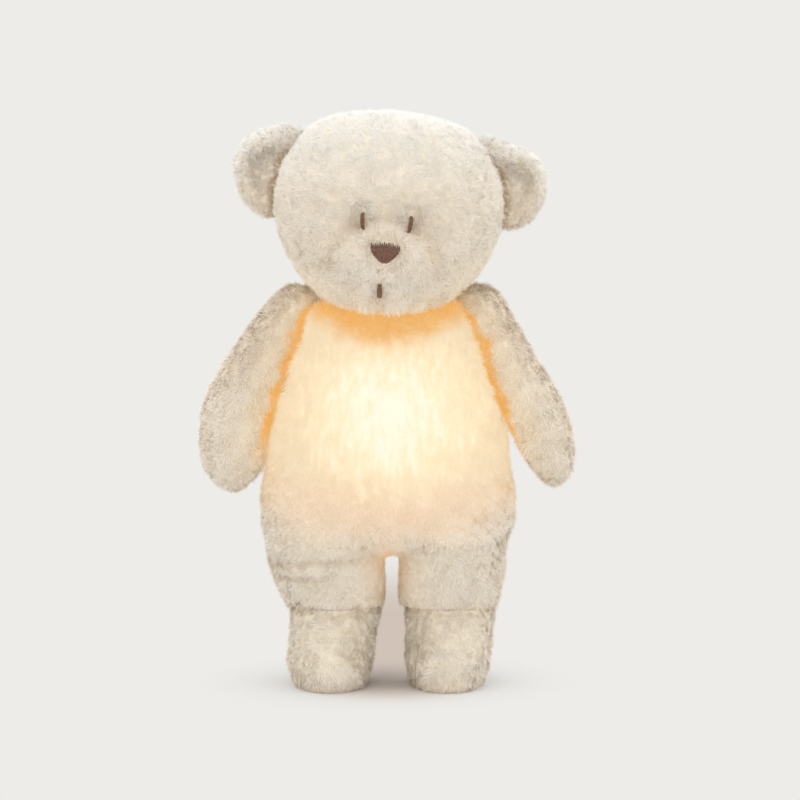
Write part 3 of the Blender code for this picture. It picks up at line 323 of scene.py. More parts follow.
class Finish:
    """A Principled material, whose nodes are added one by one."""

    def __init__(self, name, **constants):
        self.material = bpy.data.materials.new(name)
        self.material.use_nodes = True
        self.tree = self.material.node_tree
        self.shader = self.tree.nodes["Principled BSDF"]
        for key, value in constants.items():
            self.set(key.replace("_", " "), value)

    def join(self, value, socket):
        if isinstance(value, Maths):
            self.tree.links.new(value.socket, socket)
        elif hasattr(value, "__len__") and len(value) == 3 and len(socket.default_value) == 4:
            socket.default_value = (*value, 1)
        else:
            socket.default_value = value

    def set(self, name, value):
        self.join(value, self.shader.inputs[name])

    def node(self, kind, settings, *values, output=0, inputs=None):
        made = self.tree.nodes.new(kind)
        for key, value in settings.items():
            setattr(made, key, value)
        for key, value in [*enumerate(values), *(inputs or {}).items()]:
            self.join(value, made.inputs[key])
        return Maths(self, made.outputs[output])

    def place(self):
        """The point's own place, and its three lengths."""
        place = self.node("ShaderNodeTexCoord", {}, output=3)
        return place, [self.node("ShaderNodeSeparateXYZ", {}, place, output=i) for i in range(3)]

    def attribute(self, name):
        return self.node("ShaderNodeAttribute", {"attribute_name": name}, output=2)

    def noise(self, place, scale, detail=2.0):
        return self.node("ShaderNodeTexNoise", {}, inputs={"Vector": place, "Scale": scale, "Detail": detail})

    def mix(self, amount, first, second):
        inputs = {0: amount, 6: first, 7: second}
        return self.node("ShaderNodeMix", {"data_type": "RGBA"}, output=2, inputs=inputs)

    def light(self, colour, amount):
        inputs = {"Scale": amount}
        return self.node("ShaderNodeVectorMath", {"operation": "SCALE"}, colour, inputs=inputs)

    def most(self, *amounts):
        """The largest of some numbers."""
        largest = amounts[0]
        for amount in amounts[1:]:
            largest = largest.calculate("MAXIMUM", amount)
        return largest

    def bump(self, height, distance, strength=1.0):
        inputs = {"Strength": strength, "Distance": distance, "Height": height}
        self.set("Normal", self.node("ShaderNodeBump", {}, inputs=inputs))


# Light in the plush


def arm_line(z):
    """How far out the crease between the belly and an arm lies at a height."""
    high = (z - ARM_BEND_Z).calculate("MAXIMUM", 0.0)
    return (z - ARM_LINE_Z) * ARM_LINE_SLOPE - high * high * ARM_BEND + ARM_LINE_OUT


def over_chin(x, z):
    """How far above the chin's lower edge a place lies, seen from the front."""
    return z - (x * x * CHIN_CURVE + CHIN_Z)


def wander(finish, place):
    """A small uneven length, which frays the edge of the light."""
    return (finish.noise(place, 95.0) - 0.5) * 0.014 + (finish.noise(place, 600.0) - 0.5) * 0.008


def belly_light(finish, place, x, y, z):
    """The lamp's light through the belly: white in the middle, yellow round it and peach at its edge."""
    front = y.ramp(0.026, 0.0) * finish.most(z.ramp(0.236, 0.216), y.ramp(0.006, -0.010))
    chin = over_chin(x, z)
    crotch = x.hill(0.0, CROTCH_LIGHT_REACH) * z.hill(CROTCH_LIGHT_Z, CROTCH_LIGHT_REACH)
    edge = x.calculate("ABSOLUTE") - arm_line(z) + wander(finish, place)
    between_arms = finish.most(edge.ramp(0.004, 0.0), z.ramp(0.155, 0.135))
    belly = (z - x * x * BELLY_CURVE).ramp(BELLY_LOW, BELLY_HIGH) * between_arms
    thighs = x.hill(0.0, 0.014) * z.ramp(0.050, 0.080) * 0.25
    share = finish.most(belly, crotch * 0.6, thighs) * front

    clouds = finish.noise(place, 75.0) - 0.5
    slant = {"Location": (0.37, 0, 0.21), "Rotation": (0, 0.2, 0), "Scale": (1.0, 1.0, 0.30)}
    stretched = finish.node("ShaderNodeMapping", {}, place, inputs=slant)
    streaks = finish.noise(stretched, 250.0, 4.0) - 0.5
    yellow = x.hill(YELLOW_X, YELLOW_WIDE) * z.hill(YELLOW_Z, YELLOW_TALL)
    core = x.hill(0.0, CORE_REACH) * z.hill(CORE_Z, CORE_REACH)
    amber = finish.most(
        (chin + clouds * 0.018).ramp(-0.026, -0.006) * 0.95,
        edge.ramp(-0.006, 0.0) * z.ramp(0.140, 0.175) * 0.9,
        x.hill(0.0, 0.0040) * (z + clouds * 0.03).ramp(0.212, 0.236) * 0.6,
        crotch * 0.5,
    )
    peach = finish.mix(z.ramp(0.160, 0.110), GLOW_PEACH, GLOW_ROSE)
    colour = finish.mix((yellow + streaks * 0.5 + clouds * 0.3).ramp(0.30, 0.86), peach, GLOW_YELLOW)
    colour = finish.mix((core + streaks * 1.7 + clouds * 0.5).ramp(0.30, 1.15), colour, GLOW_WHITE)
    return share, finish.mix(amber, colour, GLOW_AMBER)


def arm_light(finish, place, x, y, z):
    """What falls on the inner side of an arm: amber in the crease and peach a little further out."""
    edge = x.calculate("ABSOLUTE") - arm_line(z) + wander(finish, place)
    reach = z.ramp(0.138, 0.175) * y.ramp(0.022, -0.006)
    near = edge.ramp(0.006, 0.0) * reach
    share = finish.most(near * 0.85, edge.ramp(0.026, 0.004) * reach * 0.30)
    return share, finish.mix(near, GLOW_PEACH, GLOW_AMBER)


def chin_light(finish, place, x, y, z):
    """What falls on the underside of the head: a faint peach."""
    return over_chin(x, z).ramp(0.020, 0.0) * y.ramp(0.030, -0.010) * 0.16, GLOW_PEACH


def lit(finish, place, lengths, glow, colour, grain):
    """Sets the colour of a pile or cloth, and the lamp's light that comes out of it."""
    if glow:
        share, light = glow(finish, place, *lengths)
        colour = finish.mix(share * 0.85, colour, LIT_PILE)
        finish.set("Emission Color", finish.light(light, share * grain))
        finish.set("Emission Strength", 1.0)
    finish.set("Base Color", colour)


def pile(name, glow=None, root=PILE_ROOT):
    """The strands: a little darker at the root and darker in creases and hollows, both painted shade, some
    tufts darker than others, and a painted highlight on top.
    """
    finish = Finish(name, Roughness=0.95, Specular_IOR_Level=0.1)
    place, lengths = finish.place()
    along, shade, dusk = (finish.attribute(word) for word in ("along", "shade", "dusk"))
    patches = finish.noise(place, 60.0)
    tip = finish.mix((1 - shade) * 0.5 + patches.ramp(0.4, 0.75) * 0.25, PILE_TIP, PILE_DUSK)
    # The top of the head and ears is painted paler: a painted highlight of the light from above.
    tip = finish.mix(lengths[2].ramp(0.310, 0.375) * 0.8, tip, PILE_PAINTED_HIGHLIGHT)
    # The darker roots are painted shade deep in the pile.
    colour = finish.mix(along.ramp(0.0, 0.6), root, tip)
    # The pile turns to a darker colour as painted shade in creases, hollows and seams, and at random on the
    # arms.
    colour = finish.mix(dusk * (1.15 - along * 0.4), colour, PILE_PAINTED_SHADE)
    lit(finish, place, lengths, glow, colour, shade * 0.16 + 0.88)
    return finish.material


def backing(name, glow=None):
    """The knitted cloth under the pile, which shows between the tufts."""
    finish = Finish(name, Roughness=0.95, Specular_IOR_Level=0.1)
    place, lengths = finish.place()
    grain = finish.noise(place, 1400.0, 3.0)
    finish.bump(grain, 0.0006)
    colour = finish.mix(finish.noise(place, 90.0) * 0.6 + grain * 0.4, BACKING, PILE_DUSK)
    lit(finish, place, lengths, glow, colour, grain * 0.2 + 0.9)
    return finish.material


# Stuffed forms


def smooth_row(rows, place):
    """The row at a place from 0 to 1 along a smooth curve that leaves both poles square to the axis."""
    across_the_axis = np.array([1, -1, -1, 1, 1])
    points = [rows[1] * across_the_axis, *rows, rows[-2] * across_the_axis]
    i = min(int(place * (len(rows) - 1)), len(rows) - 2)
    t = place * (len(rows) - 1) - i
    a, b, c, d = points[i : i + 4]
    return 0.5 * (2 * b + (c - a) * t + (2 * a - 5 * b + 4 * c - d) * t**2 + (3 * b - a - 3 * c + d) * t**3)


def ball(fineness):
    bm = bmesh.new()
    bmesh.ops.create_uvsphere(bm, u_segments=fineness[0], v_segments=fineness[1], radius=1)
    return bm


def stuffed(rows, low, size, fineness, spread=0.0, forward=0.0, centre=(0, 0), shape=None):
    """A closed form that swells and tapers along Z, from a sphere laid along its rows."""
    width, depth, height = size
    rows = [np.array(row, float) for row in rows]
    bm = ball(fineness)
    for v in bm.verts:
        polar = math.acos(max(-1, min(1, v.co.z))) / math.pi
        turn = math.atan2(v.co.y, v.co.x)
        up, wide, deep, across, ahead = smooth_row(rows, polar)
        v.co = (
            centre[0] + spread * across + width / 2 * wide * math.cos(turn),
            MIDDLE_Y + centre[1] - forward * ahead + depth / 2 * deep * math.sin(turn),
            low + height * up,
        )
    if shape:
        for v in bm.verts:
            v.co = shape(v.co)
    return bm


def swell(across, up, reach_across, reach_up):
    """1 at a middle, falling smoothly away from it."""
    return math.exp(-((across / reach_across) ** 2) - (up / reach_up) ** 2)


def trunk_shape(place):
    """The full hips, the tuck between the legs, the chest's seam and the folds across the belly's foot."""
    hips = 0.0034 * swell(0, place.z - 0.118, 1, 0.026) * place.x / (TRUNK_SIZE[0] / 2)
    tuck = 0.0050 * swell(place.x, place.z - CROTCH_Z, 0.018, 0.016)
    low = 0.0032 * swell(place.x, place.z - CROTCH_Z, 0.016, 0.008)
    place = place + Vector((hips, tuck if place.y < MIDDLE_Y else -tuck, -low))
    if place.y > MIDDLE_Y:
        return place
    seam = 0.0016 * swell(place.x, 0, 0.003, 1) / (1 + math.exp((SEAM_Z - place.z) / 0.006))
    fold = 0.0012 * swell(0, place.z - 0.128 - 0.10 * abs(place.x - 0.01), 1, 0.0035)
    fold += 0.0010 * swell(place.x + 0.035, place.z - 0.112 + 0.2 * place.x, 0.03, 0.003)
    return place + Vector((0, seam + fold, 0))


def trunk_form(fineness=(112, 76)):
    return stuffed(TRUNK_ROWS, TRUNK_BOTTOM, TRUNK_SIZE, fineness, forward=BELLY_FORWARD, shape=trunk_shape)


def head_shape(place):
    """The muzzle and its roll, the cheeks, the brow and the hollows of the eyes."""
    if place.y > HEAD_MIDDLE.y:
        return place
    x, z = abs(place.x - HEAD_MIDDLE.x), place.z - HEAD_MIDDLE.z
    proud = sum(high * swell(x - across, z - up, *reach) for high, across, up, *reach in HEAD_SWELLS)
    return place - Vector((0, proud, 0))


def head_roll():
    about = Matrix.Translation(HEAD_MIDDLE)
    return about @ Matrix.Rotation(HEAD_ROLL, 4, "Y") @ about.inverted()


def head_form(fineness=(120, 88)):
    low = HEAD_MIDDLE.z - HEAD_SIZE[2] / 2
    bm = stuffed(HEAD_ROWS, low, HEAD_SIZE, fineness, centre=(0, -HEAD_FORWARD), shape=head_shape)
    bmesh.ops.transform(bm, matrix=head_roll(), verts=bm.verts)
    return bm


def arm_form(side, fineness=(56, 56)):
    low = NECK + ARM_RISE - ARM_SIZE[side][2]

    def creases(place):
        """The shallow folds where the arm bends a little at the elbow."""
        fold = 0.0010 * swell(0, place.z - low - 0.066 - 0.2 * (place.x * side - 0.09), 1, 0.003)
        return place + Vector((-side * fold, fold if place.y < MIDDLE_Y else 0, 0))

    told = {"spread": side * ARM_SPREAD, "forward": ARM_FORWARD, "centre": (side * ARM_TOP_X, 0)}
    return stuffed(ARM_ROWS[side], low, ARM_SIZE[side], fineness, shape=creases, **told)


def leg_form(side, fineness=(64, 48)):
    told = {"spread": side * LEG_X, "centre": (side * LEG_X, 0)}
    return stuffed(LEG_ROWS[side], LEG_LOW, LEG_SIZE, fineness, **told)


def foot_form(side, fineness=(64, 48)):
    told = {"spread": side * LEG_X, "forward": FOOT_FORWARD, "centre": (side * LEG_X, 0)}
    return stuffed(FOOT_ROWS[side], -SOLE_CUT, FOOT_SIZE, fineness, **told)


def ear_frame(side):
    """Where an ear sits: X outwards or inwards across it, Z up it and -Y out of its hollow."""
    middle = HEAD_MIDDLE + Vector((side * (HEAD_SIZE[0] / 2 + EAR_OUT), EAR_BACK, EAR_ABOVE[side]))
    turned = Matrix.Rotation(side * EAR_TURN, 4, "Z") @ Matrix.Rotation(side * EAR_DROOP[side], 4, "Y")
    return head_roll() @ Matrix.Translation(middle) @ turned


def ear_roll(side, x, z):
    """How strongly the ear's rim rolls forwards towards a place: most at the top and the outside."""
    return 0.5 + 0.5 * math.cos(math.atan2(z, side * x) - EAR_ROLL_TURN)


def ear_form(side, fineness=(64, 44)):
    """A padded leaf with a hollow. Its rim is rolled forwards, and it is tucked in at the head."""
    bm = ball(fineness)
    for v in bm.verts:
        x, y, z = v.co
        rim = math.hypot(x, z)
        inwards = max(0.0, -side * x)
        square = EAR_CORNER[side] if z > 0 and inwards else EAR_CORNER_LOW
        corner = 1 + square * (2 * x * z / max(rim, TINY)) ** 2
        blunt = math.copysign(abs(y) ** EAR_BLUNTNESS, y)
        roll = ear_roll(side, x, z) * swell(rim - EAR_ROLL_AT, 0, EAR_ROLL_WIDTH, 1) * (1 if y < 0 else 0.4)
        hollow = EAR_CUP * rim * rim + EAR_ROLL * roll - EAR_TUCK * inwards**2
        wide, thick, tall = (size / 2 for size in EAR_SIZE[side])
        v.co = (wide * x * corner, thick * blunt - hollow, tall * z * corner)
    bmesh.ops.transform(bm, matrix=ear_frame(side), verts=bm.verts)
    return bm


def shoulder_plane(side, offset=0.0):
    """A point of the plane that an arm's root lies in, and the way out of the trunk."""
    out = Vector((side * math.cos(SHOULDER_LEAN), 0, math.sin(SHOULDER_LEAN)))
    return Vector((side * SHOULDER_X, MIDDLE_Y, SHOULDER_Z)) + out * offset, out


def slice_off(bm, point, outwards):
    """Cuts away what lies beyond a plane and closes the cut."""
    geom = bm.verts[:] + bm.edges[:] + bm.faces[:]
    plane = {"plane_co": point, "plane_no": outwards, "dist": 1e-6}
    cut = bmesh.ops.bisect_plane(bm, geom=geom, clear_outer=True, **plane)
    rim = [g for g in cut["geom_cut"] if isinstance(g, bmesh.types.BMEdge)]
    bmesh.ops.edgeloop_fill(bm, edges=rim)


def undercoat(bm, bare=None):
    """Swells a form by the dense foot of the pile, apart from where it is bare."""
    bm.normal_update()
    places = np.array([v.co[:] for v in bm.verts])
    held = bare(places) if bare else np.zeros(len(places), bool)
    for v, hold in zip(bm.verts, held):
        if not hold:
            v.co += v.normal * UNDERCOAT
    return bm


def in_order(bm):
    """The same form with its points and faces sorted by place. Their order else differs from run to run."""
    bm.verts.index_update()
    places = np.round([v.co[:] for v in bm.verts], 7)
    order = np.lexsort(places.T)
    rank = np.argsort(order)
    faces = []
    for face in bm.faces:
        turn = [int(rank[v.index]) for v in face.verts]
        first = turn.index(min(turn))
        faces.append(turn[first:] + turn[:first])
    bm.free()
    bm = bmesh.new()
    points = [bm.verts.new(place) for place in places[order]]
    for face in sorted(faces):
        bm.faces.new([points[i] for i in face])
    bm.normal_update()
    return bm


def surface_of(bm):
    return BVHTree.FromBMesh(bm)


# Pieces


def placed(name, data):
    made = bpy.data.objects.new(name, data)
    bpy.context.scene.collection.objects.link(made)
    return made


def piece_of(mesh, name, material, body):
    made = placed(name, mesh)
    mesh.materials.clear()
    mesh.materials.append(material)
    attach(made, body)
    return made


def to_mesh(bm, name):
    mesh = bpy.data.meshes.new(name)
    bm.to_mesh(mesh)
    bm.free()
    mesh.shade_smooth()
    return mesh


def mesh_of(made):
    """What an object's curve or modifiers make, as a mesh. The object is used up."""
    bpy.context.view_layer.update()
    mesh = bpy.data.meshes.new_from_object(made.evaluated_get(bpy.context.evaluated_depsgraph_get()))
    bpy.data.objects.remove(made)
    return mesh


def remade(mesh, kind, **settings):
    """The mesh as a modifier leaves it."""
    block = placed(mesh.name, mesh)
    change = block.modifiers.new(kind, kind)
    for key, value in settings.items():
        setattr(change, key, value)
    return mesh_of(block)


def carve(mesh, tool, operation="DIFFERENCE"):
    """The mesh cut by another one."""
    cutter = placed(tool.name, tool)
    cut = remade(mesh, "BOOLEAN", operation=operation, object=cutter, solver="EXACT")
    bpy.data.objects.remove(cutter)
    cut.set_sharp_from_angle(angle=SHARP)
    return cut


def body_mesh():
    """The trunk and the legs as one form, smooth where they run into each other, with folds on the thighs."""
    forms = [trunk_form(), leg_form(1), leg_form(-1)]
    trunk, left, right = (surface_of(bm) for bm in forms)
    bm = bmesh.new()
    for form in forms:
        bm.from_mesh(to_mesh(form, "form"))
    bm = copy_of(remade(to_mesh(bm, "body"), "REMESH", mode="VOXEL", voxel_size=BODY_FINENESS))
    join = []
    for v in bm.verts:
        if JOIN_LOW < v.co.z < JOIN_HIGH:
            join.append(v)
        else:
            tree = trunk if v.co.z > JOIN_LOW else left if v.co.x > 0 else right
            v.co = tree.find_nearest(v.co)[0]
    for _ in range(JOIN_SMOOTHING):
        bmesh.ops.smooth_vert(bm, verts=join, factor=0.5, use_axis_x=True, use_axis_y=True, use_axis_z=True)
    for v in bm.verts:
        if v.co.y < MIDDLE_Y and v.co.z < JOIN_HIGH:
            v.co.y += THIGH_FOLD_DEPTH * float(thigh_folds(v.co.x, v.co.z))
    return to_mesh(bm, "body")


def thigh_folds(x, z):
    """How deep the folds across the front of the thighs are, as a share: more on the bear's right."""
    up = z - THIGH_FOLD_Z - 0.06 * (x + np.sign(x) * 0.03)
    deep = np.where(x < 0, 1.0, 0.4) * smooth(np.abs(x), 0.004, 0.012)
    short = smooth(-x, 0.030, 0.045)
    return deep * (np.exp(-((up / 0.0024) ** 2)) * short + 0.9 * np.exp(-(((up - 0.0105) / 0.0026) ** 2)))


def copy_of(mesh):
    bm = bmesh.new()
    bm.from_mesh(mesh)
    return bm


def stuffed_piece(form, name, material, body, *replaced, fill=0.7):
    """The stuffed cloth of one form, in place of its solids."""
    name = f"{name}_plush"
    mesh = to_mesh(form, name) if isinstance(form, bmesh.types.BMesh) else form
    mesh.name = name
    made = piece_of(mesh, name, material, body)
    mesh.set_sharp_from_angle(angle=SHARP)
    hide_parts(*replaced)
    return made


def oval(half, front, back, middle, rim=0.0, sides=96):
    """An upright oval block from y = front to y = back, its front rim rounded."""
    bm = bmesh.new()
    bmesh.ops.create_cone(bm, cap_ends=True, segments=sides, radius1=1, radius2=1, depth=1)
    bmesh.ops.rotate(bm, matrix=Matrix.Rotation(math.pi / 2, 3, "X"), verts=bm.verts)
    for v in bm.verts:
        v.co = (middle[0] + half[0] * v.co.x, back if v.co.y > 0 else front, middle[1] + half[1] * v.co.z)
    if rim:
        edges = [e for e in bm.edges if all(abs(v.co.y - front) < 1e-5 for v in e.verts)]
        settings = {"segments": 6, "profile": 0.5, "affect": "EDGES", "clamp_overlap": True, "material": -1}
        bmesh.ops.bevel(bm, geom=edges, offset=rim, **settings)
    return bm


# Pile


def tuft(kind):
    """One tuft of curved, tapering strands that leans along +Y and stands out along +Z."""
    rng = np.random.default_rng(kind)
    curl = rng.uniform(-0.22, 0.22)
    bm = bmesh.new()
    along, across = (bm.verts.layers.float.new(word) for word in ("along", "across"))
    for i in range(STRANDS):
        made = bmesh.ops.create_grid(bm, x_segments=1, y_segments=2, size=0.5)["verts"]
        tip = [v for v in made if v.co.y > 0.4]
        bmesh.ops.pointmerge(bm, verts=tip, merge_co=(0, 0.5, 0))
        made = [v for v in made if v.is_valid]
        turn, out = i * GOLDEN_TURN, TUFT_SPREAD * math.sqrt((i + 0.5) / STRANDS)
        foot = Vector((out * math.cos(turn), out * math.sin(turn), 0))
        length = rng.uniform(0.75, 1.08)
        rise, drift = rng.uniform(0.84, 1.16), rng.normal(0, 0.26)
        roll = rng.uniform(-0.5, 0.5)
        for v in made:
            s, v[across] = v.co.y + 0.5, v.co.x + 0.5
            v[along] = s
            width = STRAND_WIDTH * v.co.x
            gathered = 1 - 0.15 * s
            v.co = (
                foot.x * gathered + length * (drift * s + curl * s * s) + width * math.cos(roll),
                foot.y * gathered + length * (0.18 * s + 0.46 * s * s) + width * math.sin(roll) * 0.4,
                length * rise * (0.96 * s - 0.30 * s * s) - 0.05 + width * math.sin(roll) * 0.8,
            )
    bm.normal_update()
    bmesh.ops.reverse_faces(bm, faces=[f for f in bm.faces if f.normal.z < 0])
    return bm


def values_of(things, name, count, kind=float):
    found = np.zeros(len(things) * count, kind)
    things.foreach_get(name, found)
    return found.reshape(-1, count) if count > 1 else found


class Tufts:
    """Every kind of tuft as arrays, and what they share."""

    def __init__(self):
        meshes = [to_mesh(tuft(kind), "tuft") for kind in range(TUFT_KINDS)]
        first = meshes[0]
        self.shapes = np.array([values_of(mesh.vertices, "co", 3) for mesh in meshes])
        self.along, self.across = (
            values_of(first.attributes[word].data, "value", 1) for word in ("along", "across")
        )
        self.corners = np.array([values_of(mesh.loops, "vertex_index", 1, int) for mesh in meshes])
        self.starts = values_of(first.polygons, "loop_start", 1, int)
        self.strand = np.arange(len(self.along)) // (len(self.along) // STRANDS)
        for mesh in meshes:
            bpy.data.meshes.remove(mesh)


def waves(points, length, seed):
    """A smooth random number at each point, about -1 to 1, that changes over a length."""
    rng = np.random.default_rng(seed)
    total = np.zeros(len(points))
    for _ in range(WAVES):
        way = rng.normal(size=3)
        way *= 2 * math.pi / length * rng.uniform(0.6, 1.3) / np.linalg.norm(way)
        total += np.sin(points @ way + rng.uniform(0, 2 * math.pi))
    return total / WAVES_SPREAD


def unit(vectors):
    return vectors / np.maximum(np.linalg.norm(vectors, axis=1, keepdims=True), TINY)


def roots_on(bm, seed, density=TUFTS_PER_AREA):
    """Places spread evenly over a form, and the way out of it at each. The form is used up."""
    rng = np.random.default_rng(seed)
    bmesh.ops.triangulate(bm, faces=bm.faces[:])
    mesh = to_mesh(bm, "roots")
    places, out = values_of(mesh.vertices, "co", 3), values_of(mesh.vertices, "normal", 3)
    faces = values_of(mesh.loops, "vertex_index", 1, int).reshape(-1, 3)
    bpy.data.meshes.remove(mesh)
    a, b, c = (places[faces[:, i]] for i in range(3))
    area = np.cumsum(np.linalg.norm(np.cross(b - a, c - a), axis=1) / 2)
    count = int(area[-1] * density)
    face = np.searchsorted(area, (np.arange(count) + rng.random(count)) / count * area[-1])
    face = faces[np.minimum(face, len(faces) - 1)]
    first, second = np.sqrt(rng.random(count)), rng.random(count)
    shares = np.stack([1 - first, first * (1 - second), first * second], axis=1)[:, :, None]
    return (places[face] * shares).sum(1), unit((out[face] * shares).sum(1))


def plant(name, roots, out, comb, length, material, body, seed, swirl=0.5, dusk=None):
    """A piece of pile: a tuft at every root, combed along comb and lengths long."""
    rng = np.random.default_rng(seed)
    count = len(roots)
    comb = unit(comb - out * (comb * out).sum(1, keepdims=True))
    side = np.cross(comb, out)
    swirls = waves(roots, SWIRL_REACH, seed) + 0.9 * waves(roots, CURL_REACH, seed + 1)
    turn = swirl * swirls + rng.normal(0, TURN_SPREAD, count)
    cos, sin = np.cos(turn)[:, None], np.sin(turn)[:, None]
    comb, side = comb * cos + side * sin, side * cos - comb * sin
    lean = (0.10 * waves(roots, LEAN_REACH, seed + 2) + rng.normal(0, LEAN_SPREAD, count))[:, None]
    comb, out = comb * np.cos(lean) + out * np.sin(lean), out * np.cos(lean) - comb * np.sin(lean)
    length = length * rng.uniform(1 - LENGTH_SPREAD, 1 + LENGTH_SPREAD, count)
    kind = rng.integers(TUFT_KINDS, size=count)
    shapes = tufts.shapes[kind] * length[:, None, None]
    points = np.einsum("nvk,nkj->nvj", shapes, np.stack([side, comb, out], 1))
    points = (points + roots[:, None, :]).reshape(-1, 3)
    points[:, 2] = np.maximum(points[:, 2], GAP)

    each = len(tufts.along)
    mesh = bpy.data.meshes.new(name)
    mesh.vertices.add(len(points))
    mesh.vertices.foreach_set("co", points.ravel())
    corners = (tufts.corners[kind] + np.arange(count)[:, None] * each).ravel()
    mesh.loops.add(len(corners))
    mesh.loops.foreach_set("vertex_index", corners)
    starts = (tufts.starts[None, :] + np.arange(count)[:, None] * tufts.corners.shape[1]).ravel()
    mesh.polygons.add(len(starts))
    mesh.polygons.foreach_set("loop_start", starts)
    mesh.update(calc_edges=True)
    mesh.shade_smooth()

    along, across = np.tile(tufts.along, count), np.tile(tufts.across, count)
    tone = 0.5 + 0.18 * waves(roots, TONE_REACH, seed + 3) + rng.normal(0, TONE_SPREAD, count)
    tone = np.clip(tone, 0, 1)
    # How far each tuft turns to the darker colour: painted shade in creases, hollows and seams, with some
    # random mottling.
    dusk = np.zeros(count) if dusk is None else np.clip(dusk, 0, 1)
    told = {"along": along, "shade": np.repeat(tone, each), "dusk": np.repeat(dusk, each)}
    for word, values in told.items():
        mesh.attributes.new(word, "FLOAT", "POINT").data.foreach_set("value", values.astype(np.float32))
    cells = math.ceil(math.sqrt(count * STRANDS))
    strand = (np.arange(count)[:, None] * STRANDS + tufts.strand[None, :]).ravel()
    flat = np.stack([strand % cells + 0.15 + 0.7 * across, strand // cells + 0.15 + 0.7 * along], 1) / cells
    chart = mesh.uv_layers.new(name="OFBake")
    chart.data.foreach_set("uv", flat[corners].astype(np.float32).ravel())

    made = piece_of(mesh, name, material, body)
    return made


def down(roots):
    return np.tile((0.0, 0.0, -1.0), (len(roots), 1))


def is_inside(tree, points, margin=0.001):
    """Which points lie inside a closed surface by more than a margin."""
    found = []
    for point in points:
        hit, normal, _, _ = tree.find_nearest(Vector(point))
        found.append((Vector(point) - hit).dot(normal) < -margin)
    return np.array(found, bool)


def beyond(points, point, out):
    """How far each point stands beyond a plane."""
    return (points - np.array(point)) @ np.array(out)


def shown(roots, out, keep):
    return roots[keep], out[keep]


def smooth(values, start, end):
    """Turns smoothly from 0 at start to 1 at end."""
    t = np.clip((values - start) / (end - start), 0, 1)
    return t * t * (3 - 2 * t)


def plant_round(name, roots, out, comb, length, material, body, seed, swirl, dusk=None):
    """The pile of a large form in three pieces, each a third of the way round it."""
    angle = np.degrees(np.arctan2(roots[:, 1] - MIDDLE_Y, roots[:, 0]))
    sector = ((angle + 150) % 360 // 120).astype(int)
    dusk = np.zeros(len(roots)) if dusk is None else dusk
    for i, word in enumerate(("front", "left", "right")):
        here = sector == i
        told = [values[here] for values in (roots, out, comb, length)]
        plant(f"{name}_{word}", *told, material, body, seed + i, swirl, dusk[here])


tufts = Tufts()
trunk_surface = surface_of(trunk_form())
whole_body = body_mesh()
SIDES = (("left", 1), ("right", -1))


# Trunk

FLAP_MIDDLE = (FLAP_LOW.z + BINDING_HIGH.z) / 2
FLAP_HALF = ((FLAP_HIGH.x - FLAP_LOW.x) / 2, (BINDING_HIGH.z - FLAP_LOW.z) / 2)
POCKET_HALF = ((POCKET_HIGH.x - POCKET_LOW.x) / 2, (POCKET_HIGH.z - POCKET_LOW.z) / 2)
POCKET_ROUND = 0.0095
FLAP_SQUARENESS = 3.0
NECK_RADIUS = 0.027


def under_flap(points):
    share = np.abs(points[:, 0] / FLAP_HALF[0]) ** FLAP_SQUARENESS
    share += np.abs((points[:, 2] - FLAP_MIDDLE) / FLAP_HALF[1]) ** FLAP_SQUARENESS
    return (share < 1) & (points[:, 1] > MIDDLE_Y)


def above_legs(points):
    """Which points have the trunk's pile, down to an uneven line at the legs' tops."""
    return points[:, 2] > LEG_TOP + 0.0025 * waves(points, 0.012, 7)


def make_trunk():
    bm = undercoat(copy_of(whole_body), under_flap)
    slice_off(bm, (0, 0, NECK), (0, 0, 1))
    slice_off(bm, (0, 0, LEG_TOP), (0, 0, -1))
    for _, side in SIDES:
        slice_off(bm, *shoulder_plane(side))
    mouth = [half + GAP for half in POCKET_HALF]
    pocket = oval(mouth, POCKET_LOW.y - GAP, REACH, (0, UNIT_Z), rim=POCKET_ROUND)
    mesh = carve(to_mesh(bm, "trunk_plush"), to_mesh(pocket, "pocket"))
    stuffed_piece(mesh, "trunk", backing("belly cloth", belly_light), "trunk", "trunk_skin", "trunk_filling")

    roots, out = roots_on(copy_of(whole_body), 10)
    ring = np.hypot(roots[:, 0], roots[:, 1] - MIDDLE_Y)
    below_neck = (roots[:, 2] < NECK - 0.001) | (ring > NECK_RADIUS)
    keep = below_neck & ~under_flap(roots) & above_legs(roots)
    for _, side in SIDES:
        keep &= beyond(roots, *shoulder_plane(side)) < -0.0005
    roots, out = shown(roots, out, keep)
    rim = smooth(roots[:, 2], 0.236, 0.247) * smooth(np.abs(roots[:, 0]), 0.020, 0.040)
    upwards = np.stack([np.sign(roots[:, 0]), np.zeros(len(roots)), np.full(len(roots), 0.8)], 1)
    comb = down(roots) * (1 - rim[:, None]) + upwards * rim[:, None]
    belly = smooth(roots[:, 1], -0.005, -0.028) * smooth(roots[:, 2], 0.112, 0.140)
    beside = smooth(np.abs(out[:, 0]), 0.55, 0.85) * smooth(roots[:, 2], 0.150, 0.170)
    length = PILE_LENGTH["trunk"] - 0.0010 * belly + 0.0022 * rim + 0.0022 * beside
    plant_round("trunk_pile", roots, out, comb, length, pile("belly pile", belly_light), "trunk", 20, 0.35)


# Head

def on_face(tree, across, below):
    """The point on the front of the head at a distance across and below its middle."""
    start = head_roll() @ (HEAD_MIDDLE + Vector((across, -REACH, -below)))
    return tree.ray_cast(start, Vector((0, 1, 0)))[0]


def facing(tree, across, below):
    """A frame on the face: X across, Z up and -Y out of it, from the points round its place."""
    reach = EYE_LENGTH / 2
    sideways = on_face(tree, across + reach, below) - on_face(tree, across - reach, below)
    up = on_face(tree, across, below - reach) - on_face(tree, across, below + reach)
    inwards = up.cross(sideways).normalized()
    sideways.normalize()
    face = Matrix((sideways, inwards, sideways.cross(inwards))).transposed()
    return Matrix.Translation(on_face(tree, across, below)) @ face.to_4x4()


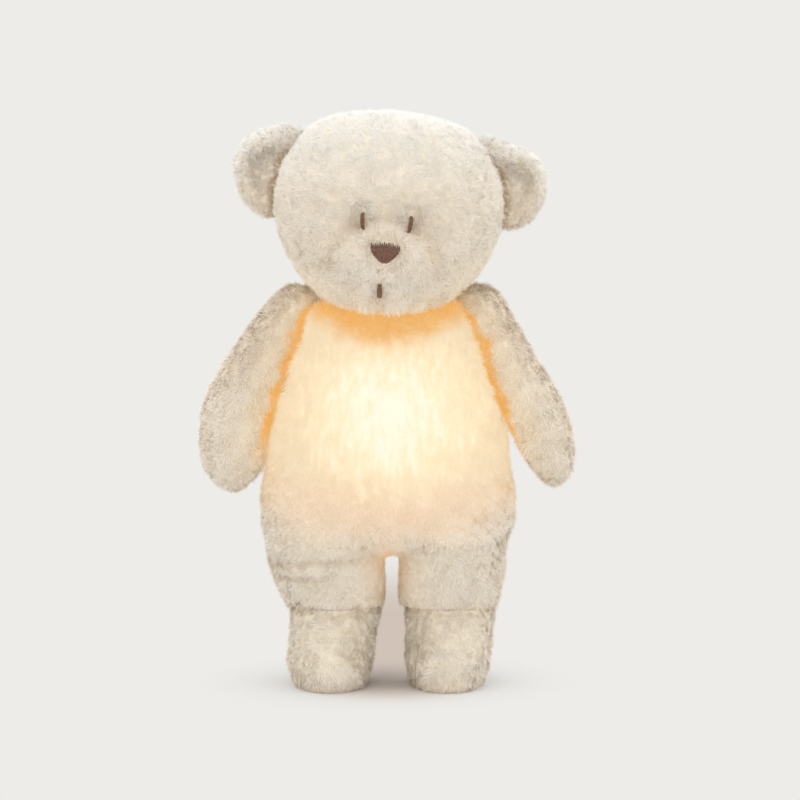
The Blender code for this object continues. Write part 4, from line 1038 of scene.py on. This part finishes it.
def to_line(points, start, end):
    """How far each flat point lies from a line between two."""
    start, end = np.array(start), np.array(end)
    run = end - start
    t = np.clip((points - start) @ run / (run @ run), 0, 1)
    return np.linalg.norm(points - start - t[:, None] * run, axis=1)


def stitch_ends(across, below, length, tilt=0.0):
    reach = np.array((math.sin(tilt), math.cos(tilt))) * length / 2
    middle = np.array((across, -below))
    return middle - reach, middle + reach


STITCHES = {
    "left_eye_stitch": stitch_ends(EYE_OUT[1], EYE_BELOW, EYE_LENGTH, EYE_TILT),
    "right_eye_stitch": stitch_ends(-EYE_OUT[-1], EYE_BELOW, EYE_LENGTH, -EYE_TILT),
    "mouth_stitch": stitch_ends(MOUTH_ACROSS, MOUTH_BELOW, MOUTH_LENGTH),
}


def face_places(points):
    """Each point across and above the head's middle, with the head's roll taken out."""
    flat = points - np.array(HEAD_MIDDLE)
    cos, sin = math.cos(HEAD_ROLL), math.sin(HEAD_ROLL)
    return np.stack([flat[:, 0] * cos - flat[:, 2] * sin, flat[:, 0] * sin + flat[:, 2] * cos], 1)


def to_stitches(points):
    """How far each point lies from the nearest stitch of the face, or far away at the back."""
    flat = face_places(points)
    near = np.min([to_line(flat, start, end) for start, end in STITCHES.values()], axis=0)
    nose = np.linalg.norm((flat - (0, -NOSE_BELOW + 0.001)) / (1, 0.80), axis=1) - NOSE_WIDTH * 0.42
    near = np.minimum(near, np.maximum(nose, 0) + 0.0005)
    return np.where(points[:, 1] < HEAD_MIDDLE.y, near, REACH)


def by_stitches(points):
    return to_stitches(points) < 0.008


def make_head():
    tree = surface_of(head_form())
    bm = undercoat(head_form(), by_stitches)
    slice_off(bm, (0, 0, NECK + GAP), (0, 0, -1))
    stuffed_piece(bm, "head", backing("head cloth", chin_light), "head", "head_skin", "head_filling")
    roots, out = roots_on(in_order(head_form()), 30)
    flat = face_places(roots)
    front = roots[:, 1] < HEAD_MIDDLE.y
    bare = to_stitches(roots)
    keep = (roots[:, 2] > NECK + 0.001) & (bare > 0.0012)
    length = PILE_LENGTH["head"] * (0.45 + 0.55 * smooth(bare, 0.001, 0.008))
    muzzle = np.exp(-((flat[:, 0] / 0.027) ** 2) - ((flat[:, 1] - MUZZLE_UP) / 0.020) ** 2) * front
    length *= 1 + 0.12 * muzzle + 0.5 * smooth(roots[:, 2], 0.264, 0.253) * front
    across, up = np.abs(flat[:, 0]), flat[:, 1]
    # Painted shade in the hollows of the eyes, round the edge of the muzzle and at the roots of the ears.
    eyes = np.exp(-((across - 0.0190) / 0.009) ** 2 - ((up + 0.0070) / 0.0085) ** 2) * front
    ring = np.hypot(across / 0.029, (up - MUZZLE_UP) / 0.024)
    muzzle_edge = np.exp(-(((ring - 1.12) / 0.16) ** 2)) * smooth(up, -0.045, -0.030) * front
    to_ear = np.abs(across - 0.068) / 0.006 + np.abs(up - EAR_ABOVE[1]) / 0.034
    by_ear = (1 - smooth(to_ear, 0.5, 1.2)) * (np.abs(roots[:, 1] - MIDDLE_Y) < 0.012)
    dusk = 0.20 * eyes + 0.24 * muzzle_edge + 0.5 * by_ear
    away = np.stack([flat[:, 0], np.zeros(len(flat)), flat[:, 1] + NOSE_BELOW], 1)
    away = unit(away) + np.array((0, 0.25, 0))
    behind = smooth(roots[:, 1], HEAD_MIDDLE.y - 0.005, HEAD_MIDDLE.y + 0.040)[:, None]
    comb = unit(away) * (1 - behind) + (down(roots) + np.array((0, 0.7, 0))) * behind
    told = [values[keep] for values in (roots, out, comb, length)]
    plant_round("head_pile", *told, pile("head pile", chin_light), "head", 40, 0.42, dusk[keep])
    make_ears(tree)
    make_face(tree)


def make_ears(tree):
    cloth, finish = backing("ear cloth"), pile("ear pile")
    for i, (word, side) in enumerate(SIDES):
        name = f"{word}_ear"
        room = to_mesh(undercoat(head_form((64, 48))), "head_room")
        mesh = carve(to_mesh(ear_form(side), f"{name}_plush"), room)
        stuffed_piece(mesh, name, cloth, "head", name, fill=0.5)
        roots, out = roots_on(in_order(ear_form(side)), 50 + i)
        keep = ~is_inside(tree, roots, -0.001)
        root = np.array(head_roll() @ (HEAD_MIDDLE + Vector((side * 0.062, 0.004, EAR_ABOVE[side]))))
        roots, out = shown(roots, out, keep)
        near = np.array([tree.find_nearest(Vector(root))[3] for root in roots])
        to_ear = ear_frame(side).inverted()
        within = np.array([(to_ear @ Vector(root))[:] for root in roots]) / EAR_SIZE[side] * 2
        rim = np.hypot(within[:, 0], within[:, 2])
        roll = np.array([ear_roll(side, x, z) for x, _, z in within])
        # Painted shade in the ear's hollow, strongest in the fold where it meets the head and fading towards
        # its top.
        inner = smooth(-out[:, 1], 0.0, 0.5) * smooth(rim + 0.5 * roll, EAR_ROLL_AT + 0.5, EAR_ROLL_AT + 0.2)
        fold = smooth(near, 0.010, 0.0) * (0.10 + 0.95 * inner)
        dusk = fold * smooth(within[:, 2], 0.85, 0.55) + 0.05 * inner
        comb = roots - root + np.array((side * 0.01, 0, 0))
        length = PILE_LENGTH["ear"] - 0.0022 * inner
        plant(f"{name}_pile", roots, out, comb, length, finish, "head", 52 + i, 0.35, dusk)


def threads(name, runs, radius, material, body, node, sides=2):
    """Threads, each along its own points."""
    curve = bpy.data.curves.new(name, "CURVE")
    curve.dimensions, curve.use_fill_caps = "3D", True
    curve.bevel_depth, curve.bevel_resolution = radius, sides
    for run in runs:
        line = curve.splines.new("POLY")
        line.points.add(len(run) - 1)
        for point, place in zip(line.points, run):
            point.co = (*place, 1)
    mesh = mesh_of(placed(name, curve))
    mesh.shade_smooth()
    made = piece_of(mesh, name, material, body)
    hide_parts(node)
    return made


def thread_finish():
    """Shiny dark brown thread, each strand slightly lighter or darker."""
    finish = Finish("brown thread", Roughness=0.5, Sheen_Weight=0.2)
    place, _ = finish.place()
    strands = finish.noise(place, 900.0, 3.0)
    finish.set("Base Color", finish.mix(strands.ramp(0.3, 0.7), srgb(84, 54, 38), srgb(134, 92, 68)))
    finish.bump(strands, 0.0003)
    return finish.material


def make_face(tree):
    material = thread_finish()
    for name, (start, end) in STITCHES.items():
        across, below = (start + end)[0] / 2, -(start + end)[1] / 2
        face = facing(tree, across, below)
        reach = (end - start) / 2
        runs = []
        broad = 1.9 if name == "mouth_stitch" else 1.4
        for i in range(5):
            offset = (i - 2) * 0.00036 * broad
            run = []
            for step in range(13):
                t = step / 6 - 1
                taper = 1 - 0.4 * t * t
                bulge = 0.0042 * math.sqrt(max(0, 1 - (0.98 * t) ** 6)) - 0.0008 + 0.0002 * (2 - abs(i - 2))
                run.append(face @ Vector((reach[0] * t + offset * taper, -bulge, reach[1] * t)))
            runs.append(run)
        threads(name + "es", runs, 0.00040, material, "head", name)
    make_nose(tree, material)


def nose_edge(x):
    """How far down the nose's outline reaches at a distance across, both as shares of its size."""
    return float(np.interp(x, *zip(*NOSE_LOWER_EDGE)))


def make_nose(tree, material):
    """Satin stitches side by side over a padded base, their upper ends not quite in line."""
    face = facing(tree, 0, NOSE_BELOW)
    count = 27
    runs = []
    for i in range(count):
        x = (i + 0.5) / count - 0.5
        top = 0.46 + (0.15, 0.02, 0.09, -0.03)[i % 4] - 0.04 * (2 * x) ** 4 + 0.04 * math.cos(9 * x)
        low = nose_edge(x) - (0.02 if i % 2 else 0.0)
        run = []
        for step in range(11):
            t = step / 10
            z = top + (low - top) * t
            crown = math.sqrt(max(0.0, 1 - (2 * t - 1) ** 4)) * (1 - 0.55 * (2 * x) ** 4)
            sunk = 0.0012 - (NOSE_PROUD + 0.0012) * crown
            run.append(face @ Vector((x * NOSE_WIDTH, sunk, z * NOSE_HEIGHT)))
        runs.append(run)
    threads("nose_stitches", runs, NOSE_WIDTH / count * 0.62, material, "head", "nose_stitching")


# Arms, legs and feet

def make_arms():
    cloth, finish = backing("arm cloth", arm_light), pile("arm pile", arm_light)
    for i, (word, side) in enumerate(SIDES):
        name = f"{word}_arm"
        bm = undercoat(arm_form(side))
        point, out_way = shoulder_plane(side, GAP)
        slice_off(bm, point, -out_way)
        stuffed_piece(bm, name, cloth, name, name, f"{name}_filling")
        roots, out = roots_on(in_order(arm_form(side)), 60 + i)
        roots, out = shown(roots, out, beyond(roots, point, out_way) > 0.0005)
        comb = down(roots) + np.array((side * 0.25, 0, 0))
        inner = smooth(-side * out[:, 0], 0.3, 0.8) * smooth(roots[:, 2], 0.145, 0.165)
        length = PILE_LENGTH["arm"] + 0.0026 * inner
        # The arm's pile is a little darker all over and in random patches, with painted shade on the upper
        # arm near the shoulder.
        dusk = 0.06 + 0.10 * smooth(waves(roots, 0.012, 66 + i), 0.2, 1.0)
        dusk += 0.22 * smooth(roots[:, 2], 0.185, 0.235)
        plant(f"{name}_pile", roots, out, comb, length, finish, name, 62 + i, 0.45, dusk)


def make_legs():
    cloth, finish = backing("leg cloth", belly_light), pile("leg pile", belly_light)
    foot_cloth, foot_finish = backing("foot cloth"), pile("foot pile", root=PILE_DUSK)
    for i, (word, side) in enumerate(SIDES):
        name = f"{word}_leg"
        bm = undercoat(copy_of(whole_body))
        slice_off(bm, (0, 0, ANKLE), (0, 0, -1))
        slice_off(bm, (0, 0, LEG_TOP - GAP), (0, 0, 1))
        slice_off(bm, (side * GAP / 2, 0, 0), (-side, 0, 0))
        stuffed_piece(bm, name, cloth, "trunk", name, f"{name}_filling")
        roots, out = roots_on(copy_of(whole_body), 70 + i)
        keep = (roots[:, 2] > ANKLE + 0.0005) & ~above_legs(roots) & (roots[:, 0] * side > 0)
        roots, out = shown(roots, out, keep)
        # Painted shade just above the ankle seam and in the folds across the thighs.
        dusk = 0.3 * (1 - smooth(roots[:, 2], ANKLE, ANKLE + 0.005))
        dusk += 0.34 * thigh_folds(roots[:, 0], roots[:, 2]) * (roots[:, 1] < MIDDLE_Y)
        length = PILE_LENGTH["leg"] - 0.0014 * smooth(-side * out[:, 0], 0.2, 0.7)
        plant(f"{name}_pile", roots, out, down(roots), length, finish, "trunk", 72 + i, 0.5, dusk)

        name = f"{word}_foot"
        bm = undercoat(foot_form(side))
        slice_off(bm, (0, 0, ANKLE - GAP), (0, 0, 1))
        slice_off(bm, (0, 0, 0), (0, 0, -1))
        stuffed_piece(bm, name, foot_cloth, "trunk", name, f"{name}_filling")
        roots, out = roots_on(in_order(foot_form(side)), 80 + i)
        keep = (roots[:, 2] < ANKLE - 0.001) & ((out[:, 2] > -0.75) | (roots[:, 2] > 0.004))
        roots, out = shown(roots, out, keep)
        toe = np.array((side * LEG_X, MIDDLE_Y - FOOT_SIZE[1] / 2, 0.024))
        ring = unit(roots - toe)
        far = np.linalg.norm(roots - toe, axis=1)
        near = np.exp(-((far / 0.022) ** 2))[:, None]
        comb = (down(roots) + np.array((0, -0.5, 0))) * (1 - near)
        comb = comb + np.cross(ring, (0, -1, 0)) * near * side
        # Painted shade below the ankle seam and near the floor.
        dusk = 0.3 * smooth(roots[:, 2], ANKLE - 0.006, ANKLE) + 0.3 * smooth(roots[:, 2], 0.008, 0.002)
        length = np.full(len(roots), PILE_LENGTH["foot"])
        plant(f"{name}_pile", roots, out, comb, length, foot_finish, "trunk", 82 + i, 0.3, dusk)


make_trunk()
make_head()
make_arms()
make_legs()


# Pocket, flap and tapes at the back

TAPE_HALF = (0.030, 0.005)
TAPE_SQUARENESS = 40
TAPE_MIDDLE = FLAP_LOW.z + 0.009
TAPE_DEPTH = 0.001
TAPES_OUT = 3 * GAP + 2 * TAPE_DEPTH
FLAP_DEPTH = 0.003
LINING_DEPTH = 0.0012


def on_the_back(half, middle, squareness, inner, outer=None, steps=(56, 52)):
    """A layer of cloth on the trunk's back, from one distance off its skin to another."""
    bm = bmesh.new()
    bmesh.ops.create_grid(bm, x_segments=steps[0], y_segments=steps[1], size=1)
    for v in bm.verts:
        u, w = abs(v.co.x), abs(v.co.y)
        share = max(u, w) / max((u**squareness + w**squareness) ** (1 / squareness), TINY)
        v.co = (half[0] * v.co.x * share, 0, middle + half[1] * v.co.y * share)
    raised = set()
    if outer:
        made = bmesh.ops.extrude_face_region(bm, geom=bm.faces[:], use_keep_orig=True)
        raised = {g for g in made["geom"] if isinstance(g, bmesh.types.BMVert)}
    for v in bm.verts:
        hit, out, _, _ = trunk_surface.ray_cast(Vector((v.co.x, REACH, v.co.z)), Vector((0, -1, 0)))
        v.co = hit + out * (outer if v in raised else inner)
    if outer:
        bmesh.ops.recalc_face_normals(bm, faces=bm.faces[:])
    else:
        bm.normal_update()
        bmesh.ops.reverse_faces(bm, faces=[f for f in bm.faces if f.normal.y < 0])
    return bm


def woven(name, light, dark, pitch):
    """Plain woven cloth, each thread over one and under the next."""
    finish = Finish(name, Roughness=0.9, Sheen_Weight=0.2)
    place, (x, y, z) = finish.place()
    across = ((x + y * 0.7) * (math.pi / pitch)).calculate("SINE")
    weave = across * (z * (math.pi / pitch)).calculate("SINE") * 0.5 + 0.5
    slubs = finish.noise(place, 260.0, 3.0)
    finish.set("Base Color", finish.mix(weave * 0.5 + slubs * 0.5, dark, light))
    finish.bump(weave + slubs * 0.6, 0.0002)
    return finish.material


def make_flap():
    under = woven("flap cloth", srgb(244, 236, 220), srgb(214, 202, 178), 0.0007)
    finish = pile("flap pile")
    panels = (
        ("back_flap", "flap", TAPES_OUT, HINGE_Z - GAP, 1, 92),
        ("flap_binding", "trunk", GAP, HINGE_Z, -1, 93),
    )
    for name, body, inner, edge, way, seed in panels:
        whole = (FLAP_HALF, FLAP_MIDDLE, FLAP_SQUARENESS)
        bm = on_the_back(*whole, inner, TAPES_OUT + FLAP_DEPTH)
        slice_off(bm, (0, 0, edge), (0, 0, way))
        cloth = piece_of(to_mesh(bm, f"{name}_cloth"), f"{name}_cloth", under, body)
        cloth.data.set_sharp_from_angle(angle=SHARP)
        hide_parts(name)
        roots, out = roots_on(on_the_back(*whole, TAPES_OUT + FLAP_DEPTH - 0.0004), 90)
        keep = (roots[:, 2] - edge) * way < -0.0006
        roots, out = shown(roots, out, keep)
        out = unit(out + rim_tilt(roots))
        length = np.full(len(roots), PILE_LENGTH["flap"])
        fur = plant(f"{name}_pile", roots, out, down(roots), length, finish, body, seed, 0.35)
        way > 0


def rim_tilt(roots):
    """Turns the pile outwards near the flap's edge, so that it covers the cut."""
    flat = (roots - np.array((0, 0, FLAP_MIDDLE))) / (FLAP_HALF[0], 1, FLAP_HALF[1])
    flat[:, 1] = 0
    share = (np.abs(flat) ** FLAP_SQUARENESS).sum(1) ** (1 / FLAP_SQUARENESS)
    return flat * smooth(share, 0.86, 1.0)[:, None] * 1.2


def make_lining():
    """The bag that holds the light unit: a cup with rounded corners, open at the trunk's back."""
    bag = []
    for inset in (0.0, LINING_DEPTH):
        half = [h - inset for h in POCKET_HALF]
        bm = oval(half, POCKET_LOW.y + inset, REACH / 3 + inset, (0, UNIT_Z), rim=POCKET_ROUND - inset)
        for i in range(1, 28):
            cut = (0, POCKET_LOW.y + POCKET_ROUND + 0.0030 * i, 0)
            geom = bm.verts[:] + bm.edges[:] + bm.faces[:]
            bmesh.ops.bisect_plane(bm, geom=geom, plane_co=cut, plane_no=(0, 1, 0))
        for v in bm.verts:
            if v.co.y > POCKET_LOW.y + 0.012:
                turn = math.atan2(v.co.z - UNIT_Z, v.co.x)
                pucker = 0.00012 * (math.sin(23 * turn + 90 * v.co.y) + math.sin(410 * v.co.y + 5 * turn))
                v.co.x -= pucker * math.cos(turn)
                v.co.z -= pucker * math.sin(turn)
        bag.append(to_mesh(bm, "pocket_lining_cloth"))
    mesh = carve(carve(*bag), to_mesh(trunk_form((64, 44)), "trunk_room"), "INTERSECT")
    mesh.name = "pocket_lining_cloth"
    cloth = woven("lining cloth", srgb(246, 240, 226), srgb(222, 212, 192), 0.0006)
    made = piece_of(mesh, "pocket_lining_cloth", cloth, "trunk")
    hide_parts("pocket_lining")


def make_tapes():
    """Two strips that grip each other: loops on the trunk and hooks on the flap."""
    cloth = woven("tape cloth", srgb(240, 233, 218), srgb(206, 196, 176), 0.0004)
    rng = np.random.default_rng(95)
    tapes = (
        ("loop_tape", "trunk", GAP, GAP + TAPE_DEPTH / 2, 1),
        ("hook_tape", "flap", TAPES_OUT - GAP - TAPE_DEPTH / 2, TAPES_OUT - GAP, -1),
    )
    for name, body, inner, outer, way in tapes:
        bm = on_the_back(TAPE_HALF, TAPE_MIDDLE, TAPE_SQUARENESS, inner, outer, (40, 8))
        strip = piece_of(to_mesh(bm, f"{name}_strip"), f"{name}_strip", cloth, body)
        strip.data.set_sharp_from_angle(angle=SHARP)
        runs = []
        base, tall = (outer if way > 0 else inner), TAPE_DEPTH / 2 * 0.9
        for i in range(38):
            for j in range(7):
                x = TAPE_HALF[0] * 0.96 * ((i + 0.5) / 19 - 1) + rng.normal(0, 0.0002)
                z = TAPE_MIDDLE + TAPE_HALF[1] * 0.9 * ((j + 0.5) / 3.5 - 1) + rng.normal(0, 0.00015)
                hit, out, _, _ = trunk_surface.ray_cast(Vector((x, REACH, z)), Vector((0, -1, 0)))
                lean = Vector((rng.normal(0, 0.25), 0, 1)).normalized() * 0.00050
                run = []
                for t in range(5):
                    turn = math.pi * t / (4 if way > 0 else 5.4)
                    run.append(hit + out * (base + way * tall * math.sin(turn)) - lean * math.cos(turn))
                runs.append(run)
        word = f"{name}_{'loops' if way > 0 else 'hooks'}"
        threads(word, runs, 0.00007, cloth, body, name, sides=0)


make_flap()
make_lining()
make_tapes()


# Light unit

LED_RING = 0.015  # how far the lamps on the board lie from its middle
BATTERY_FILM = (0.07, 0.13, 0.33)

def moulded(name, colour, roughness, grain=2600.0, wear=0.06):
    """Moulded plastic or rubber: a fine texture, slightly uneven colour and handling marks."""
    finish = Finish(name, Specular_IOR_Level=0.45)
    place, _ = finish.place()
    clouds, fine = finish.noise(place, 45.0, 4.0), finish.noise(place, grain, 2.0)
    darker = tuple(c * (1 - wear) for c in colour)
    finish.set("Base Color", finish.mix(clouds, colour, darker))
    finish.set("Roughness", clouds * 0.16 + fine * 0.10 + (roughness - 0.13))
    finish.bump(fine, 0.00012, 0.6)
    return finish


def dress(finish, *names):
    for name in names:
        for slot in frame["nodes"][name].material_slots:
            slot.material = finish.material


def make_unit():
    low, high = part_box("light_diffuser")
    diffuser = moulded("frosted diffuser", (0.93, 0.91, 0.86), 0.55)
    _, (x, y, z) = diffuser.place()
    # The diffuser's emission is painted light: the glow of the lamps behind it, paler and brighter over their
    # ring.
    ring = ((x * x + (z - UNIT_Z) * (z - UNIT_Z)) ** 0.5).hill(LED_RING, 0.010)
    near = ring * y.ramp(high.y, low.y + 0.006)
    diffuser.set("Emission Color", diffuser.mix(near, (0.62, 0.34, 0.12), (0.98, 0.80, 0.50)))
    diffuser.set("Emission Strength", 1.0)
    dress(diffuser, "light_diffuser")
    dress(moulded("case plastic", (0.80, 0.79, 0.75), 0.5), "back_shell")
    rubber = moulded("button rubber", (0.50, 0.48, 0.43), 0.62, 1800.0, 0.16)
    dress(rubber, "power_button", "brightness_button")
    dress(moulded("switch plastic", (0.030, 0.030, 0.034), 0.42), "power_switch", "brightness_switch")
    dress(moulded("red insulation", (0.50, 0.025, 0.022), 0.45, 900.0, 0.2), "red_lead")
    black = moulded("black insulation", (0.022, 0.022, 0.024), 0.45, 900.0, 0.2)
    dress(black, "black_lead", "board_lead")

    film = moulded("battery film", BATTERY_FILM, 0.38, 500.0, 0.2)
    place, (x, _, z) = film.place()
    band = (x.calculate("ABSOLUTE") - 0.0205).ramp(0.0, 0.0004)
    film.set("Base Color", film.mix(band, BATTERY_FILM, (0.62, 0.55, 0.16)))
    film.bump(film.noise(place, 140.0, 4.0), 0.0004)
    dress(film, "battery")

    mask = Finish("green circuit board", Specular_IOR_Level=0.5)
    place, (x, _, z) = mask.place()
    wander = mask.noise(place, 70.0, 1.0)
    tracks = ((x + z * 0.35 + wander * 0.006) * 2400).calculate("SINE").ramp(0.55, 0.8)
    pads = (x * 1250).calculate("SINE") * (z * 1250).calculate("SINE")
    metal = pads.ramp(0.86, 0.93)
    green = mask.mix(tracks, (0.012, 0.110, 0.045), (0.035, 0.215, 0.085))
    mask.set("Base Color", mask.mix(metal, green, (0.72, 0.66, 0.52)))
    mask.set("Metallic", metal * 0.9)
    mask.set("Roughness", 0.42 - metal * 0.12 + wander * 0.08)
    mask.bump(tracks * 0.5 + metal, 0.00006)
    dress(mask, "main_board", "button_board")

    chip = moulded("warm chip lamp", (0.90, 0.62, 0.18), 0.3, 1500.0, 0.1)
    place, _ = chip.place()
    chip.set("Emission Color", chip.mix(chip.noise(place, 900.0), (0.95, 0.66, 0.26), (1.0, 0.86, 0.56)))
    chip.set("Emission Strength", 1.0)
    dress(chip, *(f"led_{i}" for i in range(1, 6)))
    dress(moulded("charge lamp lens", (0.62, 0.78, 0.60), 0.22, 1500.0, 0.1), "charge_lamp")

    nickel = Finish("nickel plate", Metallic=1.0)
    place, (x, y, z) = nickel.place()
    drawn = nickel.node("ShaderNodeMapping", {}, place, inputs={"Scale": (1, 14, 1)})
    scratches = nickel.noise(drawn, 700.0, 4.0)
    nickel.set("Base Color", nickel.mix(scratches, (0.56, 0.55, 0.53), (0.74, 0.73, 0.70)))
    nickel.set("Roughness", scratches * 0.24 + 0.20)
    nickel.bump(scratches, 0.00005)
    dress(nickel, "charging_socket", *(f"case_screw_{i}" for i in range(1, 5)))


make_unit()


# Room and camera

FLOOR_RADIUS = 14
FLOOR, FLOOR_SHADE = (0.78, 0.77, 0.76), (0.66, 0.60, 0.555)
FLOOR_SHADE_SEEN = srgb(209, 195, 183)

def make_room():
    """A pale floor that runs into the backdrop, with warm painted shade under the bear and a warm painted
    shadow behind it.
    """
    bm = bmesh.new()
    bmesh.ops.create_circle(bm, cap_ends=True, segments=96, radius=FLOOR_RADIUS)
    floor = placed("floor", to_mesh(bm, "floor"))
    finish = Finish("floor")
    _, (x, y, _) = finish.place()
    away = (x * x + y * y) ** 0.5
    seen = finish.node("ShaderNodeLightPath", {}, output=0)
    gloss = finish.node("ShaderNodeLightPath", {}, output=3)
    # Painted shadow: a warm, darker strip on the floor behind the bear, which shows between its feet; the
    # floor round the bear is painted darker as shade too.
    behind = y.ramp(0.66, 0.30) * y.ramp(-0.015, 0.045)
    painted_shadow = x.calculate("ABSOLUTE").ramp(0.045, 0.012) * behind
    plain = finish.node("ShaderNodeEmission", {}, finish.mix(painted_shadow, BACKDROP, FLOOR_SHADE_SEEN), 1.0)
    shade = finish.most(away.ramp(0.085, 0.030), painted_shadow)
    near = finish.mix(shade, FLOOR, FLOOR_SHADE)
    cloth = finish.node("ShaderNodeBsdfDiffuse", {}, near)
    amount = (seen + gloss) * away.ramp(0.0, 0.15)
    mixed = finish.node("ShaderNodeMixShader", {}, amount, cloth, plain)
    finish.join(mixed, finish.tree.nodes["Material Output"].inputs[0])
    finish.tree.nodes.remove(finish.shader)
    floor.data.materials.append(finish.material)


def make_world(strength):
    """Soft light from all round, with the backdrop's colour where it is seen."""
    world = bpy.data.worlds.new("room")
    bpy.context.scene.world = world
    world.use_nodes = True
    nodes, links = world.node_tree.nodes, world.node_tree.links
    plain = nodes["Background"]
    plain.inputs[0].default_value, plain.inputs[1].default_value = (1.0, 0.995, 0.98, 1), strength
    seen = nodes.new("ShaderNodeBackground")
    seen.inputs[0].default_value, seen.inputs[1].default_value = (*BACKDROP, 1), 1.0
    path, mix = nodes.new("ShaderNodeLightPath"), nodes.new("ShaderNodeMixShader")
    either = nodes.new("ShaderNodeMath")
    either.operation = "MAXIMUM"
    links.new(path.outputs["Is Camera Ray"], either.inputs[0])
    links.new(path.outputs["Is Glossy Ray"], either.inputs[1])
    links.new(either.outputs[0], mix.inputs[0])
    links.new(plain.outputs[0], mix.inputs[1])
    links.new(seen.outputs[0], mix.inputs[2])
    links.new(mix.outputs[0], nodes["World Output"].inputs[0])


def lamp(name, place, size, power, colour):
    data = bpy.data.lights.new(name, "AREA")
    data.shape, data.size, data.energy, data.color = "DISK", size, power, colour
    made = placed(name, data)
    made.location = place
    made.rotation_euler = (LAMPS_AIM - made.location).to_track_quat("-Z", "Y").to_euler()


VIEW_DISTANCE, VIEW_RISE = 2.2, math.radians(5)
LENS, SENSOR = 150, 36
VIEW_MIDDLE = Vector((0.0079, 0, 0.1893))
WORLD_STRENGTH = 0.90
LAMPS_AIM = Vector((0, 0, 0.19))
LAMPS = (  # name, place, width, watts and colour
    ("key", (-0.4, -1.7, 1.9), 1.1, 6, (1.0, 0.99, 0.97)),
    ("left fill", (-1.3, -1.5, 0.15), 1.0, 3.6, (1, 1, 1)),
    ("right fill", (1.4, -1.4, 0.15), 1.0, 5.6, (1, 1, 1)),
    ("top", (0.1, -0.1, 2.0), 1.0, 8, (0.90, 0.96, 1.0)),
)

make_room()
make_world(WORLD_STRENGTH)
for told in LAMPS:
    lamp(*told)

camera = placed("camera", bpy.data.cameras.new("camera"))
camera.data.lens, camera.data.sensor_width = LENS, SENSOR
camera.location = VIEW_MIDDLE + Vector((0, -math.cos(VIEW_RISE), math.sin(VIEW_RISE))) * VIEW_DISTANCE
camera.rotation_euler = (VIEW_MIDDLE - camera.location).to_track_quat("-Z", "Y").to_euler()
bpy.context.scene.camera = camera
bpy.context.scene.view_settings.view_transform = "Standard"
